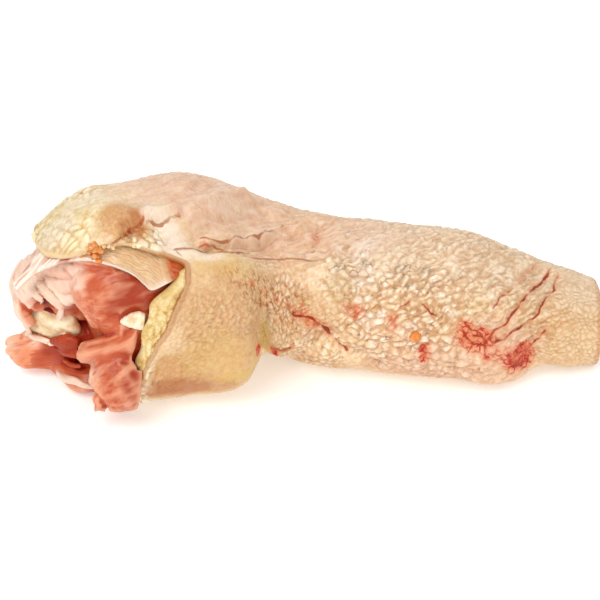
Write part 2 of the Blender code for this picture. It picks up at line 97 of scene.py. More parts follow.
# path as (along, around), half width, height (below 0 a crease), sharpness (2 round, 1 like a cut)
folds = [
    ([(46, 108), (56, 108)], 9.0, 1.8, 2),
    ([(33, 72), (37, 71), (41.5, 75), (47, 82), (52, 91), (57, 101)], 2.6, 2.2, 2),
    ([(35, 63), (40, 64), (46, 71), (53, 82), (60, 97)], 2.4, -1.6, 2),
    ([(43, 57), (48, 60), (54, 61), (62, 68), (67, 82)], 2.2, -2.0, 2),
    ([(54, 70), (60, 82), (65, 98), (68, 120)], 2.0, -1.2, 2),
    ([(72, 99), (74, 83), (74.5, 69), (72, 61)], 2.2, -1.2, 2),
    ([(59, -62), (57.5, -45), (55.5, -18), (55, -6), (56, 5), (58, 18)], 4.2, -2.6, 2),
    ([(61.5, -34), (63, -58), (63, -85)], 4.0, -2.4, 2),
    ([(60, -14), (66, -14)], 1.4, -1.0, 2),
    ([(68, -34), (69.5, -22), (73, -12), (77, 3)], 3.0, -1.5, 2),
    ([(62, -30), (63, 0)], 4.0, 1.2, 2),
    ([(19, 84), (26, 80)], 4.0, 1.4, 2),
    ([(28, -52), (44, -42)], 9.0, 1.8, 2),
    ([(75, 6), (78.5, 2), (82, -9), (88, -22)], 2.0, -1.2, 2),
    ([(120, 86), (115, 56), (111.6, 38), (109, 22)], 2.0, -1.1, 2),
    ([(123, 80), (120, 50), (116.8, 26)], 2.0, -0.9, 2),
    ([(121, 24), (117, 4), (118, -20)], 2.2, -1.4, 2),
    ([(111, -38), (115, -48)], 5.0, 1.9, 2),
    ([(120, -20), (122, -60)], 4.5, -1.8, 2),
    # the finer ones
    ([(41.7, 59), (44, 57), (46, 60), (50, 62), (53, 64), (57, 65), (61, 73), (64, 84), (65.5, 89)],
     0.8, -1.1, 1),
    ([(44, 57), (47, 56.5), (50.7, 55.5), (54, 57)], 0.6, -1.0, 1),
    ([(45, 63), (50, 66), (55, 68), (60, 77)], 1.2, 0.7, 2),
    ([(47, 58.5), (52, 60), (58, 61), (64, 64)], 0.9, 0.6, 2),
    ([(72, 92), (72.6, 81), (72.5, 72), (70.5, 65)], 0.7, -0.8, 1),
    ([(66, 60), (69, 63), (71, 72), (71, 84)], 1.1, 0.6, 2),
    ([(76, 62), (76.5, 72), (74.5, 82)], 1.1, 0.7, 2),
    ([(55, 87), (59, 98), (62, 112)], 0.7, -0.7, 1),
    ([(48, 90), (54, 99), (58, 112)], 0.9, -0.6, 1),
    ([(62, 92), (70, 101), (80, 104)], 0.7, -0.6, 1),
    ([(66, 88), (76, 96), (86, 99)], 0.8, -0.5, 1),
    ([(124.9, 89), (121.8, 61), (120.5, 50), (118.8, 38), (116.4, 24), (113.6, 16), (111.2, 9)],
     0.5, -0.8, 1),
    ([(123.1, 92), (121.5, 77), (117.6, 54), (115.7, 47), (113.9, 34), (112.2, 27), (110, 14)], 0.5, -0.9, 1),
    ([(119.6, 88), (116, 68), (113.7, 56), (110.6, 42), (110, 37)], 0.5, -0.6, 1),
    ([(116, 88), (112, 66), (109, 52), (106.5, 38)], 0.5, -0.45, 1),
    ([(111, 86), (107.5, 66), (104.5, 50), (102, 38)], 0.5, -0.4, 1),
    ([(122.8, 36), (120.6, 22), (118.7, 10), (116.7, 1), (114.5, -6)], 0.5, -0.8, 1),
    ([(68, 18), (69.1, 17), (73.5, 16.5), (74.8, 9), (77.5, -1), (80, -9), (84, -15)], 0.6, -1.0, 1),
    ([(58.4, 24), (59.5, 16), (57.5, 8)], 0.6, -0.7, 1),
    ([(65.3, 27), (67.4, 21), (69, 20)], 0.6, -0.6, 1),
    ([(96.7, 35), (98.3, 29), (101, 25)], 0.5, -0.7, 1),
    ([(91.9, 32), (94.3, 36), (97, 42)], 0.5, -0.6, 1),
    ([(85.9, -37), (86.5, -24)], 1.2, -0.8, 2),
    ([(91.3, -31), (92, -20)], 1.2, -0.7, 2),
    ([(99.4, -34), (98.5, -16), (97.1, 1)], 0.9, -0.8, 2),
    ([(31.5, 70), (30.4, 68), (28, 65), (25.1, 62.4), (23.6, 61.5)], 0.9, -1.3, 1),
    ([(25.5, 71), (28.8, 73)], 3.4, 1.2, 2),
    ([(32, 68), (35.2, 69.3), (38, 71), (41, 74.5)], 1.0, -1.4, 2),
    ([(33.4, 73), (36, 74.5), (39, 77.5)], 1.5, 1.6, 2),
]

flap = {  # the lap of skin over the neck: its upper edge, its rise there and how it fades
    "edge": [(37, 53), (42, 54.5), (47, 55.5), (51, 53.5), (56.5, 52.5), (68.5, 57.5), (75, 62)],
    "rise": 1.8,
    "step": 0.43,
    "reach": 14.0,
    "fade": 5.0,
}

# smaller laps: path, rise (above 0 the lower side lies on top), how far the rise reaches
laps = [
    ([(43, 56.5), (46, 59.5), (50, 61.5), (53, 63.5), (57, 64.5), (61, 72), (64, 83), (65.5, 89)], -0.9, 3.0),
    ([(66, 60), (70, 64), (72.2, 73), (72.6, 84), (71, 93)], 0.8, 2.4),
    ([(47, 72), (51, 77), (55, 84), (59, 96), (62, 110)], -0.6, 3.0),
    ([(33, 78), (38, 82), (43, 90), (47, 101)], -0.5, 3.0),
    ([(121.8, 61), (120.5, 50), (118.8, 38), (116.4, 24)], 0.5, 2.0),
    ([(115.7, 47), (113.9, 34), (112.2, 27), (110, 14)], 0.45, 2.0),
    ([(68, 18), (69.1, 17), (73.5, 16.5), (74.8, 9), (77.5, -1), (80, -9)], -0.35, 2.4),
    ([(32, 68), (35.2, 69.3), (38, 71), (41, 74.5), (45, 80)], -0.45, 3.0),
    ([(23.6, 61.5), (25.1, 62.4), (28, 65), (30.4, 68)], -0.8, 3.0),
]

# soft-edged areas: (along, around, mm along, mm round, amount)
areas = {
    "pebbles": [
        (92, 22, 16, 15, 1.0), (82, 50, 8, 9, 0.9), (72, -22, 11, 9, 0.7), (98, -14, 14, 9, 0.8),
        (112, 20, 12, 14, 0.4), (100, 165, 30, 40, 0.5), (66, 20, 8, 9, 0.8), (60, 160, 30, 30, 0.25),
        (90, 230, 40, 14, 0.3), (96, 60, 14, 10, 0.35),
    ],
    "pimples": [
        (50, 18, 15, 13, 0.9), (38, 0, 7, 12, 0.7), (62, 35, 10, 8, 0.5), (104, 72, 20, 11, 0.7),
        (126, 30, 12, 30, 0.8), (126, 150, 12, 60, 0.7), (40, -45, 16, 8, 0.3), (95, 110, 30, 12, 0.5),
    ],
    "crumble": [
        (14, 100, 8, 13, 1.0), (20, 112, 8, 12, 0.9), (17, 84, 5, 5, 0.9), (26, 54, 6, 3.5, 0.7),
        (12, 135, 6, 20, 0.6), (30, 61, 6, 4, 1.0), (25.4, -24, 4.0, 12, 1.1), (24, -50, 3.0, 12, 0.9),
    ],
    "creases": [(108, 60, 22, 18, 1.0), (112, 10, 12, 14, 0.7), (90, 95, 26, 12, 0.6),
                (100, 190, 34, 50, 0.6)],
    "bands": [(56, 95, 18, 26, 1.0), (72, 85, 12, 14, 1.0), (40, 140, 20, 30, 0.5)],
    "fat": [
        (14, 108, 12, 20, 1.0), (20, 84, 6, 6, 0.85), (27, 57, 8, 4.5, 0.8), (34, 75, 3.5, 4, 0.7),
        (16, 150, 10, 26, 0.8), (43, 55, 6, 1.8, 0.8), (48, -26, 5, 3, 0.7), (25.4, -24, 4.4, 12, 1.0),
        (24, -50, 3.0, 12, 0.8),
    ],
    # pink: the skin's pink; the patch low on the side at along 104 also darkens it there as painted shade
    "pink": [
        (46, 100, 16, 17, 1.0), (60, 82, 16, 13, 0.9), (76, 92, 16, 9, 0.8), (70, 130, 26, 24, 0.5),
        (112, 4, 9, 8, 0.8), (92, -4, 10, 10, 0.35), (32, -36, 6, 4, 0.6), (104, -24, 18, 9, 0.8),
    ],
    "tan": [
        (45, 11, 15, 17, 1.0), (42, -14, 13, 12, 1.0), (27.4, 70.5, 6.5, 5.0, 1.3), (62, 42, 12, 7, 0.4),
        (31, -22, 6, 9, 1.3), (70, 18, 9, 8, 0.6),
        (128, 20, 9, 26, 0.55), (60, -5, 6, 12, 0.6), (130, 150, 10, 60, 0.5),
    ],
    # white: pale patches of the skin; the small one at along 33.2, round 72.5 is a painted highlight on the
    # tip of the fold
    "white": [
        (36.5, 60, 3.6, 6.5, 1.0), (83, 74, 3, 5, 0.7), (84, 57, 3.5, 4, 0.6), (41.5, 51, 6, 1.6, 0.8),
        (22, 100, 5, 4, 0.5), (15, 92, 4, 5, 0.6), (33.2, 72.5, 2.2, 1.6, 0.9),
    ],
    # olive: olive-grey painted shade; at the crook it also gives the gristle's yellow-green
    "olive": [(80, 46, 4, 7, 0.5), (57, -5, 2.6, 5, 1.5), (12, 99, 2, 4, 0.5)],
    "blood": [
        (106.6, 9, 4.2, 3.4, 1.0), (105, 17, 2.2, 2.6, 0.9), (109, -1, 1.4, 3.0, 0.8),
        (83, 27, 2.8, 2.2, 0.55), (116, -14, 3.6, 4.6, 1.25), (61, -17, 1.8, 1.6, 1.2),
        (97.6, -6, 1.4, 3.4, 0.9), (91, 21, 1.5, 2.8, 0.5), (54.0, -14, 1.4, 2.8, 1.9),
        (112, -4, 4.0, 2.4, 0.6), (74, 12, 3.0, 2.0, 0.6), (70, 20, 3.0, 2.0, 0.5),
        (52.5, 38, 1.2, 1.0, 0.6), (57, 33, 1.2, 1.1, 0.5), (62, 29, 1.4, 1.0, 0.5),
        (67.8, -9, 1.0, 1.0, 1.0), (72, 85, 1.8, 2.6, 0.4), (43.5, 60, 1.2, 1.0, 0.5),
    ],
    # brown: mostly painted shade, along the lower rim, in the crook and in the crease under the bulge; the
    # brown line at the cut edge is added to it
    "brown": [
        (33, -31, 9, 4.4, 1.0), (41, -30, 6, 3.2, 0.4), (58, -8, 3, 4, 0.4), (85, -36, 26, 4, 0.35),
        (28.2, 66.5, 3.4, 1.5, 0.7), (60.5, -12, 1.8, 2.5, 0.9),
        (134.5, 40, 1.6, 60, 0.6), (30, 68, 1.6, 3.5, 0.9), (64, -13, 4.5, 1.3, 1.5),
    ],
    "speckled": [
        (56, 32, 10, 4.5, 1.0), (50, 37, 5, 4, 0.7), (67, 22, 7, 6, 0.9), (74, 12, 6, 6, 0.6),
        (83, 27, 4, 5, 0.6), (46, 8, 14, 14, 0.25),
    ],
    "yellow": [
        (47, -23, 7, 2.6, 1.0), (53.5, -18, 3, 4, 1.0), (57, -4, 2.6, 6, 0.9), (42, -8, 10, 8, 0.4),
        (15, 100, 9, 12, 0.5), (46, 48, 12, 3, 0.4),
    ],
    "even": [(47, -9, 9, 6.5, 1.0), (45, 42, 11, 5, 0.7)],
}

# red lines along a crease: path and amount; the finish draws them thin
stains = [
    ([(123.3, 97), (120.7, 76), (117.8, 57), (116, 48), (113.5, 30), (111, 17), (109.4, 10)], 1.0),
    ([(124.9, 90), (123.1, 66), (121.4, 53), (119.7, 39), (118.2, 29)], 1.0),
    ([(118.6, 32), (115.6, 21), (112.5, 11), (110.5, 6)], 0.93),
    ([(121.2, 18), (119.1, 5), (117.2, -7), (114.9, -10)], 0.97),
    ([(120, 96), (116.3, 73), (113.9, 59), (111, 43), (110.3, 37)], 0.89),
    ([(104.6, 24), (106.2, 18), (107.3, 16), (108.9, 8), (108.4, 4), (106.5, 4), (105.3, 10), (104.6, 17)],
     1.03),
    ([(108.6, 4), (109, -6)], 1.0),
    ([(106.5, 4), (105.8, -3)], 0.95),
    ([(109.4, 10), (106.4, 12)], 0.97),
    ([(68, 18), (69.1, 17), (73.5, 16.5), (74.8, 9), (77.5, -1), (80, -9), (81.5, -13)], 1.02),
    ([(74.4, 12), (77, 11), (79, 7)], 0.9),
    ([(58.4, 24), (59.5, 16)], 0.89),
    ([(65.3, 27), (67.4, 21), (69, 20)], 0.93),
    ([(83, 31), (84, 26), (83, 21)], 0.92),
    ([(96.2, 36), (98.3, 29), (99.5, 27)], 0.98),
    ([(91.7, 32), (93.1, 34), (94, 37)], 0.94),
    ([(90, 23), (91, 18)], 0.9),
    ([(97.6, -2), (97.4, -6), (98, -12)], 0.9),
    ([(113, -16), (116.2, -22), (118.5, -29)], 1.04),
    ([(114, -10), (115.4, -18), (116.4, -26)], 0.98),
    ([(28, 65), (30.4, 68), (31.5, 70)], 0.9),
]

# orange-brown lines along a crease, painted shade in it: path and amount
seams = [
    ([(43.2, 63), (46, 62), (50.1, 64), (54.5, 68), (58.2, 72), (61.5, 79), (64.4, 90)], 1.0),
    ([(42.7, 59), (46, 60), (49, 58), (51.8, 57), (54.8, 59)], 1.0),
    ([(71.7, 102), (72.7, 85), (72, 75), (70.4, 66)], 0.93),
    ([(39, 74), (41.6, 75), (46.2, 82), (51, 92)], 0.88),
    ([(37.3, 36), (38.2, 44), (37.6, 50)], 0.88),
    ([(23.6, 61.5), (25.1, 62.4), (28, 65), (30.4, 68), (31.5, 70)], 1.06),
    ([(32, 68), (35.2, 69.3), (38, 71), (40, 73.5)], 0.99),
    ([(34.6, 60), (36, 54), (37, 50)], 0.95),
    ([(78.4, 88), (79.8, 83), (83.2, 91), (85.2, 99)], 0.92),
    ([(55.8, 8), (57.2, -2), (58.2, -6), (60.2, -9)], 0.95),
    ([(59, 2), (60.5, -6), (61.5, -12)], 0.9),
    ([(114, 60), (111, 46), (108.6, 34)], 0.87),
    ([(110.6, 70), (107.6, 56), (105.6, 42)], 0.86),
    ([(104, 64), (101, 50), (98.6, 38)], 0.86),
]


def curveThrough(rows, position):
    # a smooth curve through equally spaced rows, at positions from 0 to 1
    spans = len(rows) - 1
    scaled = np.clip(position, 0, 1) * spans
    index = np.clip(scaled.astype(int), 0, spans - 1)
    t = (scaled - index)[..., None]
    before, start = rows[np.maximum(index - 1, 0)], rows[index]
    end, after = rows[index + 1], rows[np.minimum(index + 2, spans)]
    bend = 2 * before - 5 * start + 4 * end - after
    return start + 0.5 * t * ((end - before) + t * (bend + t * (3 * (start - end) + after - before)))


def atKnots(knots, position):
    # a smooth curve through (position, value) knots that never swings past them
    places, values = np.array(knots, float).T
    rises = np.diff(values) / np.diff(places)
    before, after = rises[:-1], rises[1:]
    goesOn = before * after > 0
    middle = np.where(goesOn, 2 * before * after / np.where(goesOn, before + after, 1), 0)
    slopes = np.concatenate([rises[:1], middle, rises[-1:]])
    index = np.clip(np.searchsorted(places, position) - 1, 0, len(places) - 2)
    step = places[index + 1] - places[index]
    t = np.clip((position - places[index]) / step, 0, 1)
    start, end = values[index], values[index + 1]
    bend = t * (1 - t) * step * ((1 - t) * slopes[index] - t * slopes[index + 1])
    return start + (end - start) * t * t * (3 - 2 * t) + bend


def smoothHeadings(points, window):
    turned = np.pad(np.gradient(points, axis=0), ((window, window), (0, 0)), mode="edge")
    weights = np.hanning(2 * window + 1)
    eased = np.stack([np.convolve(column, weights, "valid") for column in turned.T], axis=1)
    return eased / np.linalg.norm(eased, axis=1, keepdims=True)


middleLine = curveThrough(np.array(neck["sections"]), np.linspace(0, 1, neck["samples"]))
steps = np.linalg.norm(np.diff(middleLine[:, :2], axis=0), axis=1)
lengthAlong = np.concatenate([[0], np.cumsum(steps)])
headings = smoothHeadings(middleLine[:, :2], neck["bendWindow"])


def section(along):
    values = [np.interp(along, lengthAlong, middleLine[:, i]) for i in range(5)]
    headingX, headingY = (np.interp(along, lengthAlong, headings[:, i]) for i in range(2))
    return *values, headingY, -headingX


def onNeck(along, around, out, floor=0.0):
    # points that far out from the plain surface, never lower than the floor given
    x, y, z, wide, high, sideX, sideY = section(along)
    angle = np.radians(around)
    across, up = np.cos(angle), np.sin(angle)
    fullness = np.where(up < 0, neck["slump"], 1.0)
    outwardAcross, outwardUp = across / wide, up / high
    stretch = np.hypot(outwardAcross, outwardUp)
    level = wide * np.sign(across) * np.abs(across) ** fullness + out * outwardAcross / stretch
    height = high * np.sign(up) * np.abs(up) ** fullness + out * outwardUp / stretch
    return np.stack([x + sideX * level, y + sideY * level, np.maximum(height + z, floor)], axis=-1)


def unroll(along, around):
    # the skin laid flat, in mm, with its seam on the underside
    wide, high = section(along)[3:5]
    return along, np.radians(around - neck["unrollFrom"]) * (wide + high) / 2


def pathDistance(along, around, path):
    # mm from a path, and its side: above 0 is the lower side
    middle = np.mean([place[0] for place in path])
    wide, high = section(middle)[3:5]
    mmPerDegree = math.radians((wide + high) / 2)
    px, py = along, around * mmPerDegree
    nearest = np.full(np.shape(px), 1e9)
    side = np.ones(np.shape(px))
    for (a0, r0), (a1, r1) in zip(path, path[1:]):
        dx, dy = a1 - a0, (r1 - r0) * mmPerDegree
        ox, oy = px - a0, py - r0 * mmPerDegree
        t = np.clip((ox * dx + oy * dy) / (dx * dx + dy * dy), 0, 1)
        gap = np.hypot(ox - t * dx, oy - t * dy)
        closer = gap < nearest
        nearest = np.where(closer, gap, nearest)
        side = np.where(closer, -np.sign(oy * dx - ox * dy), side)
    return nearest, side


def smooth(low, high, value):
    t = np.clip((value - low) / (high - low), 0, 1)
    return t * t * (3 - 2 * t)


class Grain:
    # repeatable random patterns over 2-D or 3-D points
    def __init__(self, seed):
        draw = np.random.default_rng(seed)
        self.order = np.tile(draw.permutation(256), 3)
        slopes = draw.normal(size=(256, 3))
        self.slopes = slopes / np.linalg.norm(slopes, axis=1, keepdims=True)
        self.spots = draw.uniform(0.08, 0.92, size=(256, 3))
        self.tones = draw.uniform(size=256)

    def pick(self, cell):
        cell = cell & 255
        return self.order[self.order[self.order[cell[..., 0]] + cell[..., 1]] + cell[..., 2]]

    def waves(self, points):
        # soft hills and hollows from about -1 to 1
        cell = np.floor(points).astype(int)
        part = points - cell
        ease = part**3 * (part * (part * 6 - 15) + 10)
        total = np.zeros(points.shape[:-1])
        for corner in np.ndindex(2, 2, 2):
            corner = np.array(corner)
            slope = self.slopes[self.pick(cell + corner)]
            weight = np.prod(np.where(corner, ease, 1 - ease), axis=-1)
            total += weight * np.sum(slope * (part - corner), axis=-1)
        return total * 1.6

    def layers(self, points, count=3):
        return sum(self.waves(points * 2**i + 7.3 * i) / 2**i for i in range(count)) / 1.5

    def pebbles(self, points):
        # 0 in the grooves to 1 on each rounded top, and a random tone for each
        cell = np.floor(points).astype(int)
        nearest = np.full(points.shape[:-1], 9.0)
        second = nearest.copy()
        tone = np.zeros(points.shape[:-1])
        for corner in np.ndindex(3, 3, 1):
            beside = cell + np.array(corner) - (1, 1, 0)
            pick = self.pick(beside)
            away = beside[..., :2] + self.spots[pick][..., :2] - points[..., :2]
            far = np.hypot(away[..., 0], away[..., 1])
            second = np.where(far < nearest, nearest, np.minimum(second, far))
            tone = np.where(far < nearest, self.tones[pick], tone)
            nearest = np.minimum(nearest, far)
        groove = smooth(0.0, 0.4, second - nearest)
        return groove * (1.1 - 0.95 * nearest**1.5), tone


def flat(u, v, size, turn=0.0, stretch=1.0, shift=0.0):
    # pattern coordinates: turned by some degrees, in units of size, longer along the turned axis
    angle = math.radians(turn)
    first = (u * math.cos(angle) + v * math.sin(angle)) / (size * stretch)
    other = (v * math.cos(angle) - u * math.sin(angle)) / size * stretch
    return np.stack([first + shift, other + shift, np.full(np.shape(u), shift)], axis=-1)


def areaMask(kind, u, v, grain):
    # how much of that kind each point of the unrolled skin has
    total = np.zeros(np.shape(u))
    wobble = grain.layers(flat(u, v, 5.0), 3)
    for along, around, reachAlong, reachRound, amount in areas[kind]:
        centre = unroll(np.float64(along), np.float64(around))
        distance = np.hypot((u - centre[0]) / reachAlong, (v - centre[1]) / reachRound)
        total = np.maximum(total, amount * smooth(1.25, 0.55, distance + 0.28 * wobble))
    return total


def skinForm(along, around):
    # the height of the skin above the plain neck, in mm, and what its colours follow
    wrapped = (around + 100) % 360 - 100
    u, v = unroll(along, wrapped)
    names = ["area", "warp", "large", "small", "crumb", "fold"]
    grain = {name: Grain(seed) for seed, name in enumerate(names, 3)}
    size, relief = skin["sizes"], skin["relief"]
    masks = {kind: areaMask(kind, u, v, grain["area"]) for kind in areas}
    height = np.zeros(np.shape(u))
    for path, halfWidth, rise, sharpness in folds:
        distance, _ = pathDistance(along, wrapped, path)
        height += rise * np.exp(-((distance / halfWidth) ** sharpness))
    distance, side = pathDistance(along, wrapped, flap["edge"])
    inside = 1 / (1 + np.exp(-side * distance / flap["step"]))
    ends = np.exp(-((np.maximum(0, along - flap["edge"][-1][0]) / flap["fade"]) ** 2))
    height += flap["rise"] * inside * ends * np.exp(-((distance / flap["reach"]) ** 2))
    # foot: the low side at the foot of the flap and of each lap, painted brown later as shade in the crease
    foot = np.exp(-(((distance * side + 0.5) / 1.2) ** 2)) * ends
    for path, rise, reach in laps:
        distance, side = pathDistance(along, wrapped, path)
        inside = 1 / (1 + np.exp(-side * distance / 0.3))
        ends = smooth(-3.5, 1.5, along - min(path)[0]) * smooth(-3.5, 1.5, max(path)[0] - along)
        height += rise * (inside - 0.5) * ends * np.exp(-((distance / reach) ** 2))
        low = np.exp(-(((distance * side * np.sign(rise) + 0.3) / 1.2) ** 2))
        foot = np.maximum(foot, low * ends * min(0.9, abs(rise) * 1.2))
    masks["foot"] = foot

    warpU = u + 1.1 * grain["warp"].waves(flat(u, v, 3.4))
    warpV = v + 1.1 * grain["warp"].waves(flat(u, v, 3.4, shift=5.2))
    large, largeTone = grain["large"].pebbles(flat(warpU, warpV, size["pebbles"], 45, 1.15))
    small, smallTone = grain["small"].pebbles(flat(warpU, warpV, size["pimples"], 30, 1.1))
    crumb, crumbTone = grain["crumb"].pebbles(flat(warpU, warpV, size["crumbs"], 10, 1.15))
    lines = 1 - np.abs(grain["fold"].layers(flat(warpU, warpV, size["creases"], 48, 2.1), 2)) * 3.0
    lines = np.clip(lines, 0, 1) ** 2
    swells = grain["fold"].layers(flat(u, v, size["swells"], 35, 1.3, 2.7), 3)
    bands = 1 - np.abs(grain["fold"].waves(flat(warpU, warpV, size["bands"], 18, 2.2, 9.1))) * 2.6
    bands = np.clip(bands, 0, 1) ** 1.5

    pebbled = masks["pebbles"] * (large - 0.6) * (0.6 + 0.8 * largeTone)
    pimpled = (masks["pimples"] + 0.3 * masks["pebbles"] + 0.9 * masks["tan"] + 0.25) * (small - 0.55)
    crumbled = masks["crumble"] * (crumb - 0.5) * (0.5 + crumbTone)
    crumbled *= 0.35 + 0.85 * smooth(-0.5, 0.4, grain["crumb"].waves(flat(u, v, 4.5, shift=6.1)))
    fine = relief["pebbles"] * pebbled + relief["pimples"] * pimpled + relief["crumbs"] * crumbled
    fine -= relief["creases"] * lines * (masks["creases"] + 0.25 * masks["pebbles"])
    fine += relief["bands"] * (bands - 0.35) * masks["bands"]
    fine *= 1 - 0.8 * masks["even"]
    height += fine + relief["swells"] * swells

    wobbleAlong = along + 0.5 * (warpU - u) + 0.25 * grain["fold"].waves(flat(u, v, 1.3))
    wobbleRound = wrapped + (0.5 * (warpV - v) + 0.25 * grain["fold"].waves(flat(u, v, 1.3, shift=4.0))) * 2.8

    def drawn(lines):
        # the strongest of those lines at each point
        found = np.zeros(np.shape(u))
        for path, amount in lines:
            distance, _ = pathDistance(wobbleAlong, wobbleRound, path)
            found = np.maximum(found, amount * np.exp(-((distance / skin["lineWidth"]) ** 2)))
        return found * (0.98 + 0.14 * grain["area"].waves(flat(u, v, 2.2)))

    masks["stained"] = drawn(stains)
    masks["foot"] = np.maximum(masks["foot"], 1.02 * drawn(seams))
    top, rim = skin["paintedTopSheen"], skin["brownRim"]
    # the pale patch on top is painted sheen; it goes into the white mask
    pale = top["amount"] * smooth(*top["comes"], wrapped) * smooth(*top["along"], along)
    pale = pale * smooth(*top["goes"], wrapped)
    masks["white"] = np.maximum(masks["white"], pale)
    masks["fine"] = np.clip(0.5 + fine * 1.25, 0, 1)
    edge = atKnots(skin["shoulderEdge"], wrapped)
    edgeLine = rim["amount"] * np.exp(-(((along - edge) / rim["width"]) ** 2))
    edgeLine = edgeLine * smooth(*rim["comes"], wrapped) * smooth(*rim["goes"], wrapped)
    masks["brown"] = np.maximum(masks["brown"], edgeLine)
    masks["tone"] = largeTone * masks["pebbles"] + smallTone * (1 - masks["pebbles"])
    # lines: the fine creases, painted darker with the groove colour as shade in them
    masks["lines"] = lines * np.clip(masks["creases"] + 0.3 * masks["pebbles"], 0, 1)
    return height, masks


def placed(name, data):
    made = bpy.data.objects.new(name, data)
    bpy.context.scene.collection.objects.link(made)
    return made


def makeMesh(name, points, faces, attributes=None):
    # a smooth-shaded piece from points in mm; attributes are up to three masks each
    mesh = bpy.data.meshes.new(name)
    mesh.from_pydata(((np.asarray(points) + neck["toCentre"]) * mm).tolist(), [], faces)
    mesh.shade_smooth()
    for title, values in (attributes or {}).items():
        paint(mesh, title, values)
    return placed(name, mesh)


def paint(mesh, title, values):
    layer = mesh.color_attributes.new(title, "FLOAT_COLOR", "POINT")
    colours = np.ones((len(mesh.vertices), 4))
    colours[:, : len(values)] = np.stack(values, axis=-1).reshape(-1, len(values))
    layer.data.foreach_set("color", colours.ravel())


def gridFaces(rows, columns, wraps=True):
    across = columns if wraps else columns - 1
    row, column = np.meshgrid(np.arange(rows - 1), np.arange(across), indexing="ij")
    here, beside = row * columns + column, row * columns + (column + 1) % columns
    return np.stack([here, here + columns, beside + columns, beside], axis=-1).reshape(-1, 4)


def spreadRound(columns):
    # places round the neck, closer on the side that shows and where the edge runs lengthwise
    around = np.linspace(neck["seam"], neck["seam"] + 360, 1441)
    edge = atKnots(skin["shoulderEdge"], around)
    step = np.hypot(np.diff(around) * neck["mmPerDegree"], np.diff(edge))
    low, high = skin["shownSide"]
    middle = (around[1:] + around[:-1]) / 2
    step *= np.where((middle > low) & (middle < high), 1.0, skin["hiddenShare"])
    walked = np.concatenate([[0], np.cumsum(step)])
    return np.interp(np.linspace(0, walked[-1], columns, endpoint=False), walked, around)


# the masks that each attribute of the skin holds, with their value on the rim and the inside
skinMasks = {
    "form": {"fine": 0.45, "lines": 0, "stained": 0},
    "fatty": {"fat": 0.9, "pink": 0, "tan": 0.1},
    # stain holds blood, and brown and white, which are partly painted shade and painted highlight
    "stain": {"blood": 0.1, "brown": 0.1, "white": 0},
    # other holds olive and foot, which are painted shade, and the pebbles
    "other": {"olive": 0, "foot": 0, "pebbles": 0},
    "more": {"speckled": 0, "yellow": 0.3, "tone": 0.5},
    "calm": {"even": 0},
}


def makeSkin():
    around = spreadRound(skin["columns"])
    ragged = Grain(21).layers(np.stack([around * 0.3, around * 0, around * 0], axis=-1), 2)
    start = atKnots(skin["shoulderEdge"], around) + skin["raggedEdge"] * ragged
    angle = np.radians(around)
    circle = np.stack([np.cos(angle), np.sin(angle), angle * 0], axis=-1)
    end = lengthAlong[-1] - 0.3 + skin["raggedEnd"] * Grain(22).layers(circle * 2.6 + 4.0, 3)
    share = np.linspace(0, 1, skin["rows"])[:, None]
    along = start + (end - start) * share
    place = np.broadcast_to(around, along.shape)
    height, masks = skinForm(along, place)
    rings = [onNeck(along, place, height)]
    uneven = skin["unevenDepth"] * Grain(23).layers(circle * 3.0 + 8.0, 2)
    depth = atKnots(skin["depth"], end) + uneven
    rings.append(onNeck(end + skin["edgeRound"] * 0.7, around, -depth * 0.15)[None])
    rings.append(onNeck(end + skin["edgeRound"], around, -depth / 2, depth / 2)[None])
    inside = (np.linspace(1, 0, skin["insideRows"]) ** 1.5)[:, None]
    insideAlong = start + (end - start) * inside
    insideDepth = atKnots(skin["depth"], insideAlong) + uneven * inside
    insidePlace = np.broadcast_to(around, insideAlong.shape)
    rings.append(onNeck(insideAlong, insidePlace, -insideDepth, insideDepth))
    edgeDepth = atKnots(skin["depth"], start)
    for share, out in ((0.75, 0.8), (1.0, 0.5), (0.75, 0.2)):
        rise = -edgeDepth * out + height[0] * (1 - out)
        rings.append(onNeck(start - skin["edgeRound"] * share, around, rise, edgeDepth * out)[None])
    points = np.concatenate(rings)
    rows, columns = points.shape[:2]
    faces = gridFaces(rows + 1, columns) % (rows * columns)

    def filled(mask, value):
        # the rim and the inside take one value
        return np.concatenate([mask, np.full((rows - skin["rows"], columns), value)])

    attributes = {
        title: [filled(np.clip(masks[name], 0, 2), value) for name, value in group.items()]
        for title, group in skinMasks.items()
    }
    rim = skin["brownRim"]
    browned = smooth(*rim["comes"], around) * smooth(*rim["rowsGo"], around)
    attributes["stain"][1][-3:] = np.array(skin["brownRows"])[:, None] * browned
    attributes["flat"] = [filled(part / 100, 0.9) for part in unroll(along, place)]
    attributes["flat"].append(np.zeros((rows, columns)))
    return makeMesh("skin_sleeve", points.reshape(-1, 3), faces.tolist(), attributes)


